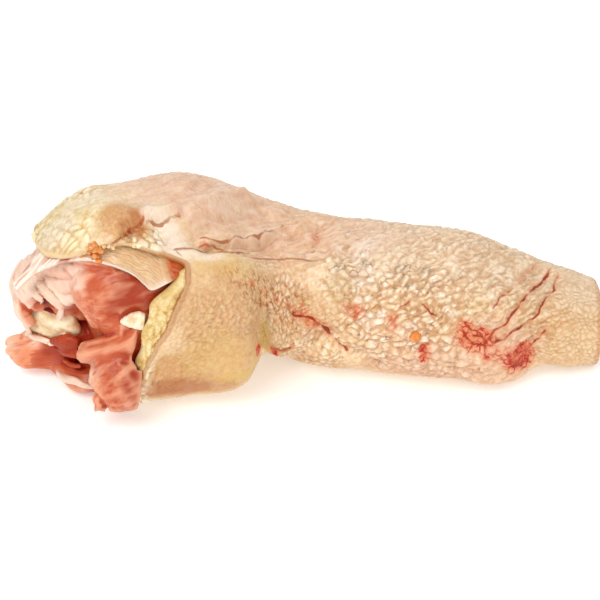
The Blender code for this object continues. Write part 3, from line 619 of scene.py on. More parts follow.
flesh = {
    # path from the root out and radii (wide, high) of each muscle, how pale and how frayed it is
    "muscles": {
        "upper": (
            [(-26, -2, 26), (-31.5, -5, 25.8), (-37, -7.5, 25), (-41.5, -9, 23.8), (-44.5, -10, 22.8)],
            [(7, 6), (7.5, 6.8), (8, 7.4), (6.8, 6.6), (3.4, 3.6)], 0.1, 0.35,
        ),
        "tongue": (
            [(-28, -12, 25.5), (-31.5, -15, 22.5), (-36, -15.6, 19), (-41, -14, 15.6), (-45.5, -12, 13.6)],
            [(2.2, 2.4), (2.6, 2.6), (3.2, 2.8), (3.4, 2.8), (2.4, 2.0)], 0.3, 0.5,
        ),
        "lower": (
            [(-24, -6, 11.5), (-30, -11, 10.8), (-35, -15, 10.2), (-39, -18, 9.2), (-41.5, -19.6, 8)],
            [(7.5, 8.5), (8, 9), (7.8, 8.8), (6.6, 7.4), (3.6, 4.4)], 0.1, 0.8,
        ),
        "side": (
            [(-44, 3, 7), (-50, 0, 6.8), (-56, -1.5, 6.2), (-60.5, -1.8, 5.5), (-63, -1.8, 5)],
            [(6, 6), (6.2, 6), (5.5, 4.8), (4.2, 3.6), (1.8, 1.6)], 0.5, 0.9,
        ),
        "far": (
            [(-40, 5, 21), (-47, 3, 22), (-52, 1.5, 22), (-56, 0.5, 20.5), (-58.5, 0, 18.5)],
            [(9, 9), (9.5, 9), (8.5, 8.4), (6, 6.8), (3, 4)], 0.45, 0.4,
        ),
        "back": (
            [(-42, 8, 13), (-50, 6.5, 13), (-56, 5.5, 13), (-60, 5, 12.5)],
            [(9, 10), (9, 9.5), (7, 8), (3.5, 4.5)], 0.3, 0.6,
        ),
        "under": (
            [(-40, -6, 4), (-45, -8.5, 3.6), (-49, -6.5, 3.2), (-53, -4, 3)],
            [(4, 3.6), (4, 3.2), (3.2, 2.8), (1.8, 1.8)], 0.2, 0.9,
        ),
        "inner": (
            [(-42, 0, 10), (-46.5, -2.5, 10.5), (-50, -4.5, 10.8), (-51.5, -5.2, 10.8)],
            [(4.5, 4), (4.2, 3.6), (3, 2.6), (1.4, 1.3)], -0.4, 0.5,
        ),
    },
    # more pieces of them: path, radii, and whether they look like muscle, film, or white or red strands
    "strands": [
        ([(-33, -9.2, 28), (-36.5, -10.2, 28.5), (-40, -10.6, 28), (-43, -10.2, 27.2), (-45.2, -9.8, 26.2)],
         [(5.5, 6), (5.6, 7), (5.2, 7.2), (4.2, 6), (2.2, 3.8)], "muscle"),
        ([(-53, -3.0, 30.2), (-50, -5.0, 30.6), (-47, -6.8, 31.6), (-44.4, -8.6, 33.0)],
         [(1.4, 2.0), (1.6, 2.4), (1.6, 2.4), (1.2, 1.6)], "film"),
        ([(-51.6, -5.0, 27.2), (-49, -6.4, 27.6), (-46.8, -7.8, 28.6), (-45.0, -8.8, 30.0)],
         [(1.0, 1.4), (1.4, 1.9), (1.4, 1.9), (0.9, 1.2)], "film"),
        ([(-49.6, -6.6, 24.6), (-47.8, -7.4, 24.8), (-46.2, -8.4, 26.0)],
         [(0.8, 1.0), (1.2, 1.5), (0.8, 1.0)], "film"),
        ([(-54.6, -4.6, 26.4), (-52.8, -6.4, 25.0), (-50.8, -7.4, 23.2), (-49.4, -7.4, 21.6)],
         [(0.5, 0.8), (0.7, 1.1), (0.6, 1.0), (0.3, 0.5)], "white"),
        ([(-52.6, -4.8, 27.6), (-50.4, -6.6, 26.0), (-48.6, -7.4, 24.2)],
         [(0.5, 0.8), (0.6, 1.0), (0.3, 0.5)], "white"),
        ([(-56.4, -4.6, 25.4), (-55.0, -6.2, 24.0), (-53.6, -6.8, 22.2)],
         [(0.4, 0.7), (0.6, 0.9), (0.3, 0.5)], "white"),
        ([(-58.4, -1.2, 23.6), (-59.0, -2.0, 20.0), (-58.4, -2.8, 16.6), (-56.6, -3.6, 14.4)],
         [1.0, 1.5, 1.3, 0.7], "muscle"),
        ([(-53.0, -5.0, 10.8), (-51.0, -6.2, 11.8), (-49.0, -7.0, 12.4), (-46.6, -8.0, 12.6)],
         [(0.8, 0.8), (1.3, 1.5), (1.4, 1.8), (0.9, 1.0)], "red"),
        ([(-51.8, -6.2, 9.4), (-49.8, -7.4, 9.6), (-47.6, -8.6, 10.2), (-46.0, -9.6, 11.0)],
         [(0.5, 0.5), (0.8, 0.9), (0.8, 1.0), (0.5, 0.5)], "red"),
        ([(-50.6, -7.2, 7.4), (-48.6, -8.6, 7.2), (-46.4, -10.0, 8.0)], [0.4, 0.6, 0.4], "red"),
        # frayed ends of the side muscle
        ([(-59.6, -3.8, 7.6), (-62.0, -3.6, 7.2), (-63.4, -3.0, 6.4)], [1.3, 1.3, 0.8], "muscle"),
        ([(-60.0, -2.0, 8.8), (-62.4, -1.6, 8.0), (-63.8, -1.0, 7.0)], [1.2, 1.2, 0.8], "muscle"),
        ([(-57.8, -4.4, 6.2), (-60.2, -4.6, 5.6), (-61.8, -4.0, 4.8)], [1.2, 1.2, 0.8], "muscle"),
    ],
    "filmReach": 2.1,
    "whiteReach": 1.1,
    "redReach": 2.8,
    # the last bits of trimming by the photo: the lower muscle's rim is lifted, the side muscle drawn in
    "lift": {"height": 5.2, "back": -15, "front": -20, "left": -39.5, "right": -36},
    "drawnIn": 2.2,
    # where the joins of the muscles are evened out, and where they are palest: centre, reach
    "melted": [((-36.4, -12.6, 28.5), 5.5), ((-34.0, -14.6, 25.8), 2.6)],
    "palest": [((-51.6, -6.2, 25.0), 3.4), ((-43.8, -12.0, 25.6), 2.6), ((-61.5, -3, 8), 3.0),
               ((-42.5, -19, 9), 3.0)],
    # deepest: places painted darker, as shade between the muscles
    "deepest": [((-34.8, -19.0, 17.0), 4.6), ((-35.0, -16.0, 27.5), 4.0)],
    "whitest": [((-62.8, -3.0, 7.4), 2.4), ((-43.0, -19.0, 13.4), 2.6), ((-57.0, -4.6, 9.8), 1.4)],
    "frays": {"count": 15, "from": (-42.4, -20.4, 6.8), "to": (-35.2, -20.6, 8.4),
              "length": 4.0, "radius": 1.0},
    # a pit in the cut end: centre, reach and mm deep; it is painted dark as shade too
    "pit": {"centre": (-54.6, -5.2, 20.3), "reach": 2.3, "depth": 2.4},
    "cutAt": -20.0,  # the lobes in front of this x are remade finely
    "voxel": 0.34,
    "eases": 36,
    # how far each kind of relief rises, in mm
    "relief": {"bundles": 0.26, "fibres": 0.2, "torn": 0.32, "swells": 0.25, "film": 0.6},
    "coreStart": 39.0,
    "coreEnd": 134.6,
    "coreGap": ((0, 2.6), (46, 2.6), (54, 0.7), (130, 0.7), (135, 0.5)),
    # on the cut face: mm across the bundles, and the outer edges of the bone and of its marrow
    "bundle": 2.1,
    "bone": (2.9, 2.5),
    "marrow": (1.3, 0.8),
}


def podRings(path, radii, rings, columns, lump):
    # rings of a soft tapering form along a curved path
    radii = np.array([radius if isinstance(radius, tuple) else (radius, radius) for radius in radii])
    rows = curveThrough(np.hstack([path, radii]).astype(float), np.linspace(0, 1, rings))
    ways = np.gradient(rows[:, :3], axis=0)
    angle = np.linspace(0, 2 * math.pi, columns, endpoint=False)
    made = []
    for centre, way, (wide, high) in zip(rows[:, :3], ways, rows[:, 3:]):
        side = np.array(Vector(way).cross(Vector((0, 0, 1))).normalized())
        up = np.array(Vector(side).cross(Vector(way)).normalized())
        swell = 1 + lump * np.sin(3 * angle + centre[0])
        outward, upward = wide * swell * np.cos(angle), high * swell * np.sin(angle)
        made.append(centre + np.outer(outward, side) + np.outer(upward, up))
    return np.array(made)


def withEnds(rings):
    # the points of a tube of rings, then the middle of its first ring and of its last
    return np.concatenate([rings.reshape(-1, 3), [rings[0].mean(axis=0)], [rings[-1].mean(axis=0)]])


def cappedFaces(rings, columns, first=0):
    # the faces of a tube of rings whose two end points follow its rings
    faces = (gridFaces(rings, columns) + first).tolist()
    start, last = first + rings * columns, first + (rings - 1) * columns
    for i in range(columns):
        beside = (i + 1) % columns
        faces.append((start, first + i, first + beside))
        faces.append((start + 1, last + beside, last + i))
    return faces


def podMesh(pods, rings, columns, lump=0.05):
    # points and faces of several pods; each is a path with its radii
    points, faces = [], []
    first = 0
    for path, radii in pods:
        points.append(withEnds(podRings(path, radii, rings, columns, lump)))
        faces += cappedFaces(rings, columns, first)
        first += rings * columns + 2
    return np.concatenate(points), faces


def remeshed(name, piece, voxel):
    # the piece as one even skin of small faces
    change = piece.modifiers.new("even", "REMESH")
    change.mode = "VOXEL"
    change.voxel_size = voxel * mm
    change.use_smooth_shade = True
    bpy.context.view_layer.update()
    graph = bpy.context.evaluated_depsgraph_get()
    mesh = bpy.data.meshes.new_from_object(piece.evaluated_get(graph))
    bpy.data.objects.remove(piece)
    return placed(name, mesh)


def readMesh(piece):
    # points in mm, without the shift to the middle, and normals and edges
    mesh = piece.data
    points = np.empty(len(mesh.vertices) * 3)
    normals = np.empty(len(mesh.vertices) * 3)
    edges = np.empty(len(mesh.edges) * 2, dtype=np.int64)
    mesh.vertices.foreach_get("co", points)
    mesh.vertices.foreach_get("normal", normals)
    mesh.edges.foreach_get("vertices", edges)
    return points.reshape(-1, 3) / mm - neck["toCentre"], normals.reshape(-1, 3), edges.reshape(-1, 2)


def writePoints(piece, points):
    piece.data.vertices.foreach_set("co", ((points + neck["toCentre"]) * mm).ravel())
    piece.data.update()


def eased(points, edges, rounds, keepsSize=True):
    # evened out over the mesh; in turn shrunk and grown so that it keeps its size
    count = len(points)
    ends = np.concatenate([edges[:, 0], edges[:, 1]])
    others = np.concatenate([edges[:, 1], edges[:, 0]])
    links = np.maximum(np.bincount(ends, minlength=count), 1)[:, None]
    for turn in range(rounds):
        pulls = [np.bincount(ends, weights=points[others, i], minlength=count) for i in range(3)]
        toward = np.stack(pulls, axis=1) / links - points
        points = points + toward * (-0.52 if keepsSize and turn % 2 else 0.5)
    return points


def treeOf(piece, points):
    # the faces of a piece, to look for the nearest or the first one hit
    return BVHTree.FromPolygons(points.tolist(), [tuple(face.vertices) for face in piece.data.polygons])


def shelter(piece, points, normals, reach=7.0, rays=11):
    # how closed in each point is, from 0 in the open to 1 deep in a gap
    tree = treeOf(piece, points)
    turn = math.pi * (3 - math.sqrt(5))
    blocked = np.zeros(len(points))
    side = np.cross(normals, np.where(np.abs(normals[:, 2:]) < 0.9, (0.0, 0.0, 1.0), (1.0, 0.0, 0.0)))
    side /= np.linalg.norm(side, axis=1, keepdims=True)
    other = np.cross(normals, side)
    starts = (points + normals * 0.1).tolist()
    for i in range(rays):
        rise = 1 - (i + 0.5) / rays * 0.9
        flatness = math.sqrt(1 - rise * rise)
        toSide, toOther = flatness * math.cos(turn * i), flatness * math.sin(turn * i)
        ways = normals * rise + side * toSide + other * toOther
        for k, (start, way) in enumerate(zip(starts, ways.tolist())):
            if tree.ray_cast(start, way, reach)[0] is not None:
                blocked[k] += 1
    return blocked / rays


def nearTo(places, points):
    # 1 at the middle of the nearest of those places, 0 well outside their reach
    near = np.zeros(len(points))
    for centre, reach in places:
        near = np.maximum(near, np.exp(-((np.linalg.norm(points - centre, axis=1) / reach) ** 2)))
    return near


def muscleFields(points, samples=48):
    # for each point: place in its muscle's own frame, its fibres' way, share of the length, paleness,
    # fraying, and how clear it is of the next muscle
    best = np.full(len(points), 1e9)
    second = best.copy()
    share, pale, frayed, otherPale = np.zeros((4, len(points)))
    local, fibres = np.zeros((2, len(points), 3))
    for number, (path, radii, paleness, fraying) in enumerate(flesh["muscles"].values()):
        rows = curveThrough(np.hstack([path, radii]).astype(float), np.linspace(0, 1, samples))
        centres, radius = rows[:, :3], rows[:, 3:].mean(axis=1)
        ways = np.gradient(centres, axis=0)
        spans = np.linalg.norm(ways, axis=1)
        ways /= spans[:, None]
        walked = np.concatenate([[0], np.cumsum(np.linalg.norm(np.diff(centres, axis=0), axis=1))])
        far = np.linalg.norm(points[:, None] - centres[None], axis=2) / radius
        index = far.argmin(axis=1)
        nearest = far[np.arange(len(points)), index]
        away = points - centres[index]
        way = ways[index]
        side = np.cross(way, (0.0, 0.0, 1.0))
        side /= np.linalg.norm(side, axis=1, keepdims=True)
        up = np.cross(side, way)
        found = np.stack([np.sum(away * axis, axis=1) for axis in (side, up, way)], axis=1)
        found[:, 2] += walked[index]
        closer = nearest < best
        otherPale = np.where(closer, pale, np.where(nearest < second, paleness, otherPale))
        second = np.where(closer, best, np.minimum(second, nearest))
        best = np.where(closer, nearest, best)
        local = np.where(closer[:, None], found + number * 41.0, local)
        fibres = np.where(closer[:, None], way, fibres)
        share = np.where(closer, index / (samples - 1), share)
        pale = np.where(closer, paleness, pale)
        frayed = np.where(closer, fraying, frayed)
    clear = smooth(0.0, 0.2, second - best)
    pale = pale + (otherPale - pale) * 0.5 * (1 - clear)
    return local, fibres, share, pale, frayed, clear


def lobesFromFrame():
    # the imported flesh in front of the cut, closed again where it is cut
    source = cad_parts["flesh"]
    shape = bmesh.new()
    shape.from_mesh(source.data)
    bmesh.ops.remove_doubles(shape, verts=shape.verts, dist=0.01 * mm)
    cut = ((flesh["cutAt"] + neck["toCentre"][0]) * mm, 0, 0)
    everything = shape.verts[:] + shape.edges[:] + shape.faces[:]
    bmesh.ops.bisect_plane(shape, geom=everything, plane_co=cut, plane_no=(1, 0, 0), clear_outer=True)
    bmesh.ops.holes_fill(shape, edges=[edge for edge in shape.edges if edge.is_boundary])
    bmesh.ops.triangulate(shape, faces=shape.faces)
    points = np.array([vertex.co for vertex in shape.verts]) / mm - neck["toCentre"]
    faces = [[vertex.index for vertex in face.verts] for face in shape.faces]
    shape.free()
    return points, faces


def frayPods():
    # short torn ends along the lower muscle's rim
    frays = flesh["frays"]
    draw = np.random.default_rng(11)
    start, end = np.array(frays["from"]), np.array(frays["to"])
    pods = []
    for i in range(frays["count"]):
        root = start + (end - start) * (i + 0.5) / frays["count"] + draw.normal(0, 0.5, 3)
        way = np.array([-0.1, -0.6, -0.65]) + draw.normal(0, 0.2, 3)
        way *= frays["length"] * draw.uniform(0.6, 1.1) / np.linalg.norm(way)
        root = root - way * 0.4
        path = [root, root + way * 0.45, root + way * 0.8, root + way]
        path = [(x, y, max(z, 0.9)) for x, y, z in path]
        radius = frays["radius"] * draw.uniform(0.7, 1.15)
        pods.append((path, [radius * 0.8, radius, radius * 0.8, radius * 0.35]))
    return pods


def makeLobes():
    points, faces = lobesFromFrame()
    morePoints, moreFaces = podMesh([strand[:2] for strand in flesh["strands"]] + frayPods(), 12, 16)
    moreFaces = [[index + len(points) for index in face] for face in moreFaces]
    rough = makeMesh("rough_lobes", np.concatenate([points, morePoints]), faces + moreFaces)
    lobes = remeshed("muscle_lobes", rough, flesh["voxel"])
    points, _, edges = readMesh(lobes)
    points = eased(points, edges, flesh["eases"])
    melted = nearTo(flesh["melted"], points)[:, None]
    points += (eased(points, edges, 260, False) - points) * np.clip(melted * 1.3, 0, 1)
    writePoints(lobes, points)
    points, normals, _ = readMesh(lobes)
    local, fibres, share, pale, frayed, clear = muscleFields(points)
    pale += 0.6 * nearTo(flesh["palest"], points) - 0.55 * nearTo(flesh["deepest"], points)
    acrossFibres = 1 - np.abs(np.sum(fibres * normals, axis=1))
    grain = Grain(31)
    wide = grain.waves(local / (1.6, 1.6, 11.0)) * (0.35 + 0.65 * acrossFibres) * clear
    narrow = grain.waves(local / (0.7, 0.7, 6.0) + 3.7) * clear
    pit = flesh["pit"]
    inPit = nearTo([(pit["centre"], pit["reach"])], points)
    ends = smooth(0.6, 1.0, share) * frayed * clear
    torn = grain.waves(local / (0.9, 0.9, 2.2) + 9.1)
    swell = grain.layers(points / 5.0, 2)
    # face: 1 where the surface turns to -x, the side toward the light; it is painted paler there and darker
    # on the turned-away sides, as light and shade
    face = smooth(0.3, -0.4, normals[:, 0] + 0.1 * swell)
    x, y, z = points.T
    film = smooth(0.1, 0.5, normals[:, 2] + 0.15 * swell) * smooth(21, 24, z) * smooth(-42, -45.5, x)
    leftFilm = smooth(-0.15, -0.5, normals[:, 0]) * smooth(-54, -57, x) * smooth(8, 12, z)
    leftFilm *= smooth(7, 2, y + swell)
    film = np.maximum(film, leftFilm * smooth(0.9, 0.4, inPit))

    def nearStrands(kind):
        paths = [path for path, _, looks in flesh["strands"] if looks == kind]
        places = [place for path in paths for place in curveThrough(np.array(path), np.linspace(0, 1, 14))]
        return nearTo([(place, flesh[kind + "Reach"]) for place in places], points)

    film = np.maximum(film, np.clip(nearStrands("film") * 1.3, 0, 1))
    white, red = nearStrands("white"), nearStrands("red")
    white = np.maximum(white, nearTo(flesh["whitest"], points) * np.clip(0.5 + 0.9 * narrow, 0, 0.8))
    creased = points @ np.array([[0.8, 0, 0.6], [0, 1, 0], [-0.6, 0, 0.8]])
    wrinkles = np.clip(1 - np.abs(grain.layers(creased / (7.0, 5.0, 2.2), 2)) * 2.4, 0, 1)
    relief = flesh["relief"]
    out = relief["bundles"] * wide + relief["fibres"] * (0.5 - np.abs(narrow)) * (0.5 + 0.5 * face)
    out = out + relief["torn"] * torn * ends + relief["swells"] * swell
    out = out * (1 - film) + film * (relief["film"] * wrinkles + 0.1)
    out -= pit["depth"] * inPit
    points = points + normals * out[:, None]
    lift = flesh["lift"]
    x, y, z = points.T
    low = lift["height"] * smooth(lift["back"], lift["front"], y) * smooth(lift["left"], lift["right"], x)
    drawn = flesh["drawnIn"] * smooth(-4, -8, y) * smooth(12, 8, z) * smooth(-50, -54, x)
    points = np.stack([x, y + drawn, np.maximum(z, low + 0.05)], axis=1)
    writePoints(lobes, points)
    points, normals, edges = readMesh(lobes)
    flatter = eased(points, edges, 60, False)
    hollow = np.sum((flatter - points) * normals, axis=1)
    lumpPath = np.array(fatEdge["lump"][0] + gristle["path"])
    filled = nearTo([(place, 3.0) for place in lumpPath], points)
    # closed: how sheltered each point is; shade is painted with it
    closed = shelter(lobes, points, normals) * (1 - 0.8 * filled)
    streak = np.clip(0.5 + 0.5 * wide + 0.35 * narrow, 0, 1) * (1 - film)
    streak += film * np.clip(0.36 + wrinkles, 0, 1)
    paint(lobes.data, "fibre", [local[:, i] / 100 for i in range(3)])
    # meat: paleness, with painted light on the faces turned to the light and painted shade at the deepest
    # places, in hollows and where closed in
    paint(lobes.data, "meat", [
        np.clip(0.4 + pale * 0.45 + 0.6 * (face - 0.5) - 0.6 * red, 0, 1),
        np.clip(0.5 + hollow * 1.2, 0, 1),
        closed,
    ])
    paint(lobes.data, "mark", [streak, np.clip(inPit * 1.3, 0, 1), film])
    paint(lobes.data, "join", [clear, white, red])
    return lobes


def makeCore(columns=200, rows=34, capRows=56):
    # the muscle inside the sleeve, and its cut face at the head end
    around = np.linspace(neck["seam"], neck["seam"] + 360, columns, endpoint=False)
    along = np.linspace(flesh["coreStart"], flesh["coreEnd"], rows)[:, None]
    deep = atKnots(skin["depth"], along) + atKnots(flesh["coreGap"], along)
    place = np.broadcast_to(around, (rows, columns))
    body = onNeck(along, place, -deep, deep)
    middle = body[-1].mean(axis=0)
    share = np.linspace(1, 0.01, capRows)[:, None, None]
    face = middle + (body[-1] - middle) * share
    across = np.stack([face[..., 1], face[..., 2], face[..., 2] * 0], axis=-1)
    across += 0.6 * Grain(42).waves(across / 1.8)[..., None] * (1, 1, 0)
    bundles, tones = Grain(41).pebbles(across / (flesh["bundle"], flesh["bundle"], 1.0))
    fromMiddle = np.hypot(face[..., 1] - middle[1], face[..., 2] - middle[2])
    fromMiddle += 0.5 * Grain(43).waves(across / 2.0)
    bone, marrow = smooth(*flesh["bone"], fromMiddle), smooth(*flesh["marrow"], fromMiddle)
    rise = (0.45 * bundles + 0.35 * tones) * (1 - bone) + 0.75 * bone - 1.1 * marrow
    face[..., 0] += rise * (1 - share[..., 0] ** 8) - 0.15
    rings = np.concatenate([body, face[1:]])
    core = makeMesh("neck_muscle", withEnds(rings), cappedFaces(len(rings), columns))
    points, _, _ = readMesh(core)
    local = points[:, [1, 2, 0]]
    half = np.full(len(points), 0.5)

    def onFace(values, last):
        # values for the cut face alone
        return np.concatenate([np.zeros(rows * columns), np.ravel(values[1:]), [0, last]])

    paint(core.data, "fibre", [local[:, i] / 100 for i in range(3)])
    paint(core.data, "meat", [half + onFace(0.4 * tones - 0.2, 0), half, half * 0.4])
    paint(core.data, "mark", [half, onFace(0.9 * marrow, 0.9), half * 0])
    between = 0.5 * smooth(0.3, 0.05, bundles) * (1 - bone)
    white = np.maximum(bone * 0.85, between) * (1 - marrow)
    paint(core.data, "join", [half * 2, onFace(white, 0), half * 0])
    return core


fascia = {
    # its lower and upper edge over the neck, as (along, around)
    "lower": [
        (5, 94), (8.4, 90), (12.1, 80), (15.7, 70), (19, 60.5), (21.5, 53), (24.4, 46), (27.2, 39.5),
        (28.8, 34), (30.2, 31), (34.0, 36), (38.4, 45),
    ],
    "upper": [(5, 106), (9, 106), (12.5, 100), (14.5, 88), (18, 78), (21.5, 72), (27, 68), (33, 62),
              (40.4, 54)],
    "under": 0.8,
    "thick": 0.8,
    "rows": 240,
    "columns": 90,
    "rim": 0.55,
    "wrinkles": 0.8,
    "streaks": 0.12,
    # from there on the film comes up and is painted brown, as shade in the notch
    "cleft": (33.2, 35.0),  # mm along where its cords sink into the notch of the skin
    "toRight": (15, 24),  # mm along where the wrinkles turn to streaks
    # white cords of the torn film: path and radius at each point; all but the last lie on the lobes
    "cords": [
        (
            [(-58.2, 2.0, 27.6), (-60.4, 0.6, 24.0), (-61.2, -0.6, 19.0), (-60.8, -1.6, 14.6),
             (-58.4, -2.6, 11.6)],
            [0.45, 0.6, 0.5, 0.6, 0.5],
        ),
        ([(-59.4, -2.2, 11.9), (-56.6, -3.6, 10.2), (-52.8, -5.2, 10.8), (-49.6, -6.6, 13.0)],
         [0.5, 0.6, 0.6, 0.4]),
        ([(-53.2, -8.0, 4.2), (-50.2, -10.2, 4.4), (-47.2, -11.4, 4.8), (-43.8, -13.2, 4.2)],
         [0.5, 0.9, 0.8, 0.5]),
        ([(-50.6, -5.8, 18.2), (-50.0, -6.9, 20.2), (-49.7, -7.2, 22.4), (-49.9, -6.8, 23.8)],
         [0.8, 0.7, 0.5, 0.3]),
    ],
}


def laidOn(piece, path, radii):
    # a cord's path and radii with more points, and each point brought onto a piece's surface
    tree = treeOf(piece, readMesh(piece)[0])
    rows = curveThrough(np.hstack([path, np.array(radii)[:, None]]), np.linspace(0, 1, 22))
    for row in rows:
        place, normal, _, _ = tree.find_nearest(row[:3])
        row[:3] = np.array(place) + np.array(normal) * row[3] * 0.35
    rows[1:-1] = (rows[:-2] + rows[1:-1] + rows[2:]) / 3
    return rows[:, :3], list(rows[:, 3])


def makeFascia(lobes):
    rows, columns = fascia["rows"], fascia["columns"]
    share = np.linspace(0, 1, rows)
    low = curveThrough(np.array(fascia["lower"], float), share)[:, None]
    high = curveThrough(np.array(fascia["upper"], float), share)[:, None]
    over = np.linspace(0, 1, columns)[:, None]
    place = low + (high - low) * over
    along, around = place[..., 0], place[..., 1]
    # in the notch the film comes up and is painted brown, as shade
    cleft = smooth(*fascia["cleft"], along)
    deep = (atKnots(skin["depth"], along) + fascia["under"]) * (1 - 0.5 * cleft)
    u, v = unroll(along, around)
    grain = Grain(51)
    toRight = smooth(*fascia["toRight"], along)
    bend = 1.3 * grain.waves(flat(u, v, 4.0, shift=3.0))
    wrinkles = 1 - np.abs(grain.layers(flat(u, v + bend, 4.6, 32, 1.7), 2)) * 2.4
    wrinkles = np.clip(wrinkles, 0, 1) ** 1.3
    streaks = grain.waves(flat(u, v + bend, 1.2, -38, 1.8))
    streaks += 0.6 * grain.waves(flat(u, v + bend, 0.6, -38, 2.0, 4.0))
    relief = (1 - toRight) * fascia["wrinkles"] * (wrinkles - 0.4) + toRight * fascia["streaks"] * streaks
    edge = over[:, 0][None, :]
    rim = np.exp(-((edge * 9) ** 1.6))
    height = relief * smooth(0.0, 0.1, edge) * smooth(1.0, 0.92, edge)
    height += fascia["rim"] * rim * (0.3 + 0.7 * toRight)
    outer = onNeck(along, around, -deep + height, deep)
    inner = onNeck(along, around, -deep - fascia["thick"], deep + fascia["thick"])
    points = np.concatenate([outer.reshape(-1, 3), inner.reshape(-1, 3)])
    top = gridFaces(rows, columns, False)
    total = rows * columns
    faces = top.tolist() + (top[:, ::-1] + total).tolist()
    loop = [i * columns for i in range(rows)] + [(rows - 1) * columns + i for i in range(1, columns)]
    loop += [i * columns + columns - 1 for i in range(rows - 2, -1, -1)] + list(range(columns - 2, 0, -1))
    for here, beside in zip(loop, loop[1:] + loop[:1]):
        faces.append((here, here + total, beside + total, beside))
    cords = [laidOn(lobes, *cord) for cord in fascia["cords"][:-1]] + fascia["cords"][-1:]
    cordPoints, cordFaces = podMesh(cords, 60, 20, 0.12)
    faces += [[index + len(points) for index in face] for face in cordFaces]
    # relief, rim and how far right, with their value on the cords
    film = [
        (np.clip(0.5 + relief * 1.2, 0, 1) * (1 - cleft), 0.6),
        (np.broadcast_to(rim, along.shape) * (0.25 + 0.75 * toRight) * (1 - cleft), 0.45),
        (toRight * np.ones(along.shape), 0.2),
    ]
    values = [
        np.concatenate([part.ravel(), part.ravel(), np.full(len(cordPoints), end)]) for part, end in film
    ]
    return makeMesh("torn_fascia", np.concatenate([points, cordPoints]), faces, {"film": values})


fatEdge = {
    "from": -18,
    "to": 45,
    "width": ((-18, 1.4), (-5, 2.8), (7, 4.7), (20, 5.1), (34, 3.5), (45, 1.6)),
    "top": 0.9,
    "thick": 1.2,
    "toSkin": -0.1,
    "rows": 340,
    "columns": 90,
    # the section from the skin outwards: share of the width, share of the thickness
    "section": [(0.0, 0.12), (0.2, -0.1), (0.5, -0.12), (0.8, 0.12), (0.97, 0.4), (1.0, 0.7), (0.85, 1.0),
                (0.4, 1.0), (0.0, 1.0)],
    "lump": ([(-36.0, -15.4, 24.8), (-34.6, -15.9, 25.2), (-33.0, -16.1, 25.6), (-31.5, -16.2, 25.4)],
             [(0.3, 0.3), (0.8, 0.9), (1.2, 1.6), (0.8, 1.7)]),
}


def makeFatEdge():
    rows, columns = fatEdge["rows"], fatEdge["columns"]
    around = np.linspace(fatEdge["from"], fatEdge["to"], rows)[:, None]
    ends = np.sqrt(np.clip(1 - np.abs(np.linspace(-1, 1, rows)) ** 10, 0, 1))[:, None]
    edge = atKnots(skin["shoulderEdge"], around) - fatEdge["toSkin"]
    wide = (atKnots(fatEdge["width"], around) + 0.3 * np.sin(around / 3)) * (0.3 + 0.7 * ends)
    loop = np.array(fatEdge["section"] + fatEdge["section"][:1], float)
    shape = curveThrough(loop, np.linspace(0, 1, columns, endpoint=False))
    bottom = atKnots(skin["depth"], edge) + fatEdge["thick"]
    along = edge - wide * shape[:, 0]
    middle = bottom * 0.5
    deep = fatEdge["top"] + (bottom - fatEdge["top"]) * shape[:, 1]
    deep = middle + (deep - middle) * (0.2 + 0.8 * ends)
    place = np.broadcast_to(around, along.shape)
    u, v = unroll(along, place)
    grain = Grain(61)
    warp = 0.6 * grain.waves(flat(u, v, 2.0))
    big, _ = grain.pebbles(flat(u + warp, v + warp, 2.4, 60, 1.2))
    little, _ = Grain(62).pebbles(flat(u + warp, v, 0.95, 20, 1.1))
    shown = smooth(1.02, 0.6, shape[:, 1]) * np.ones(along.shape)
    lumpy = 0.2 + 0.8 * smooth(32, 12, place)
    soft = grain.layers(flat(u, v, 2.6, 50, 1.3), 2)
    relief = ((0.26 * (big - 0.55) + 0.14 * (little - 0.5)) * lumpy + 0.35 * soft) * shown
    points = withEnds(onNeck(along, place, -deep + relief, deep))
    # the side next to the skin, painted orange-brown as shade in the gap there
    besideSkin = smooth(0.25, 0.0, shape[:, 0]) * np.ones(along.shape)
    values = [np.append(np.clip(0.55 + relief * 0.9, 0, 1), [0.5, 0.5]), np.append(besideSkin, [0, 0])]
    return makeMesh("fat_strip", points, cappedFaces(rows, columns), {"fat": values})


def roughen(piece, size, height, seed, stretch=(1, 1, 1)):
    # lumps on a small piece, and a mask of them
    points, normals, _ = readMesh(piece)
    lumps = Grain(seed).layers(points / size / np.array(stretch), 3)
    writePoints(piece, points + normals * (height * lumps + 0.38)[:, None])
    paint(piece.data, "fat", [np.clip(0.5 + 0.6 * lumps, 0, 1)])
    return piece


def makeFatLump():
    path, radii = fatEdge["lump"]
    points, faces = podMesh([(path, radii)], 60, 60, 0.03)
    return roughen(makeMesh("fat_lump_white", points, faces), 2.6, 0.35, 71)


gristle = {
    "path": [(-59, 0, 11.4), (-56, -1.4, 13), (-52.5, -3.2, 14.4), (-49, -4.8, 15.6), (-47.4, -5.4, 16.2)],
    "radii": [(0.6, 1.4), (1.1, 3.2), (1.3, 4.2), (1.1, 3.4), (0.5, 1.6)],
}


def makeGristle():
    points, faces = podMesh([(gristle["path"], gristle["radii"])], 150, 110, 0.03)
    return roughen(makeMesh("gristle_plate", points, faces), 3.2, 0.3, 81, (1.3, 1.0, 0.8))


# small bits on the skin
bits = {
    "blob": {"centre": (-41.8, -11.2, 39.5), "spread": (1.5, 0.4, 0.9), "count": 24, "radius": (0.4, 0.8)},
    "drop": (95.6, 10.0, 1.35),  # along, around, radius
    "strings": [  # along, around, count, spread, radius, how orange
        (29.4, 61, 5, 1.1, 0.5, 0.2), (34, 63, 3, 1.0, 0.5, 0.1),
        (15.4, 86, 3, 1.2, 0.5, 0.3), (14.0, 112, 4, 2.0, 0.6, 0.3),
        (22.5, 62, 3, 1.0, 0.4, 0.5),
    ],
}


def onSkin(along, around, sink):
    # the point that far below the skin's surface
    along, around = np.array([along]), np.array([around])
    height, _ = skinForm(along, around)
    return onNeck(along, around, height - sink)[0]


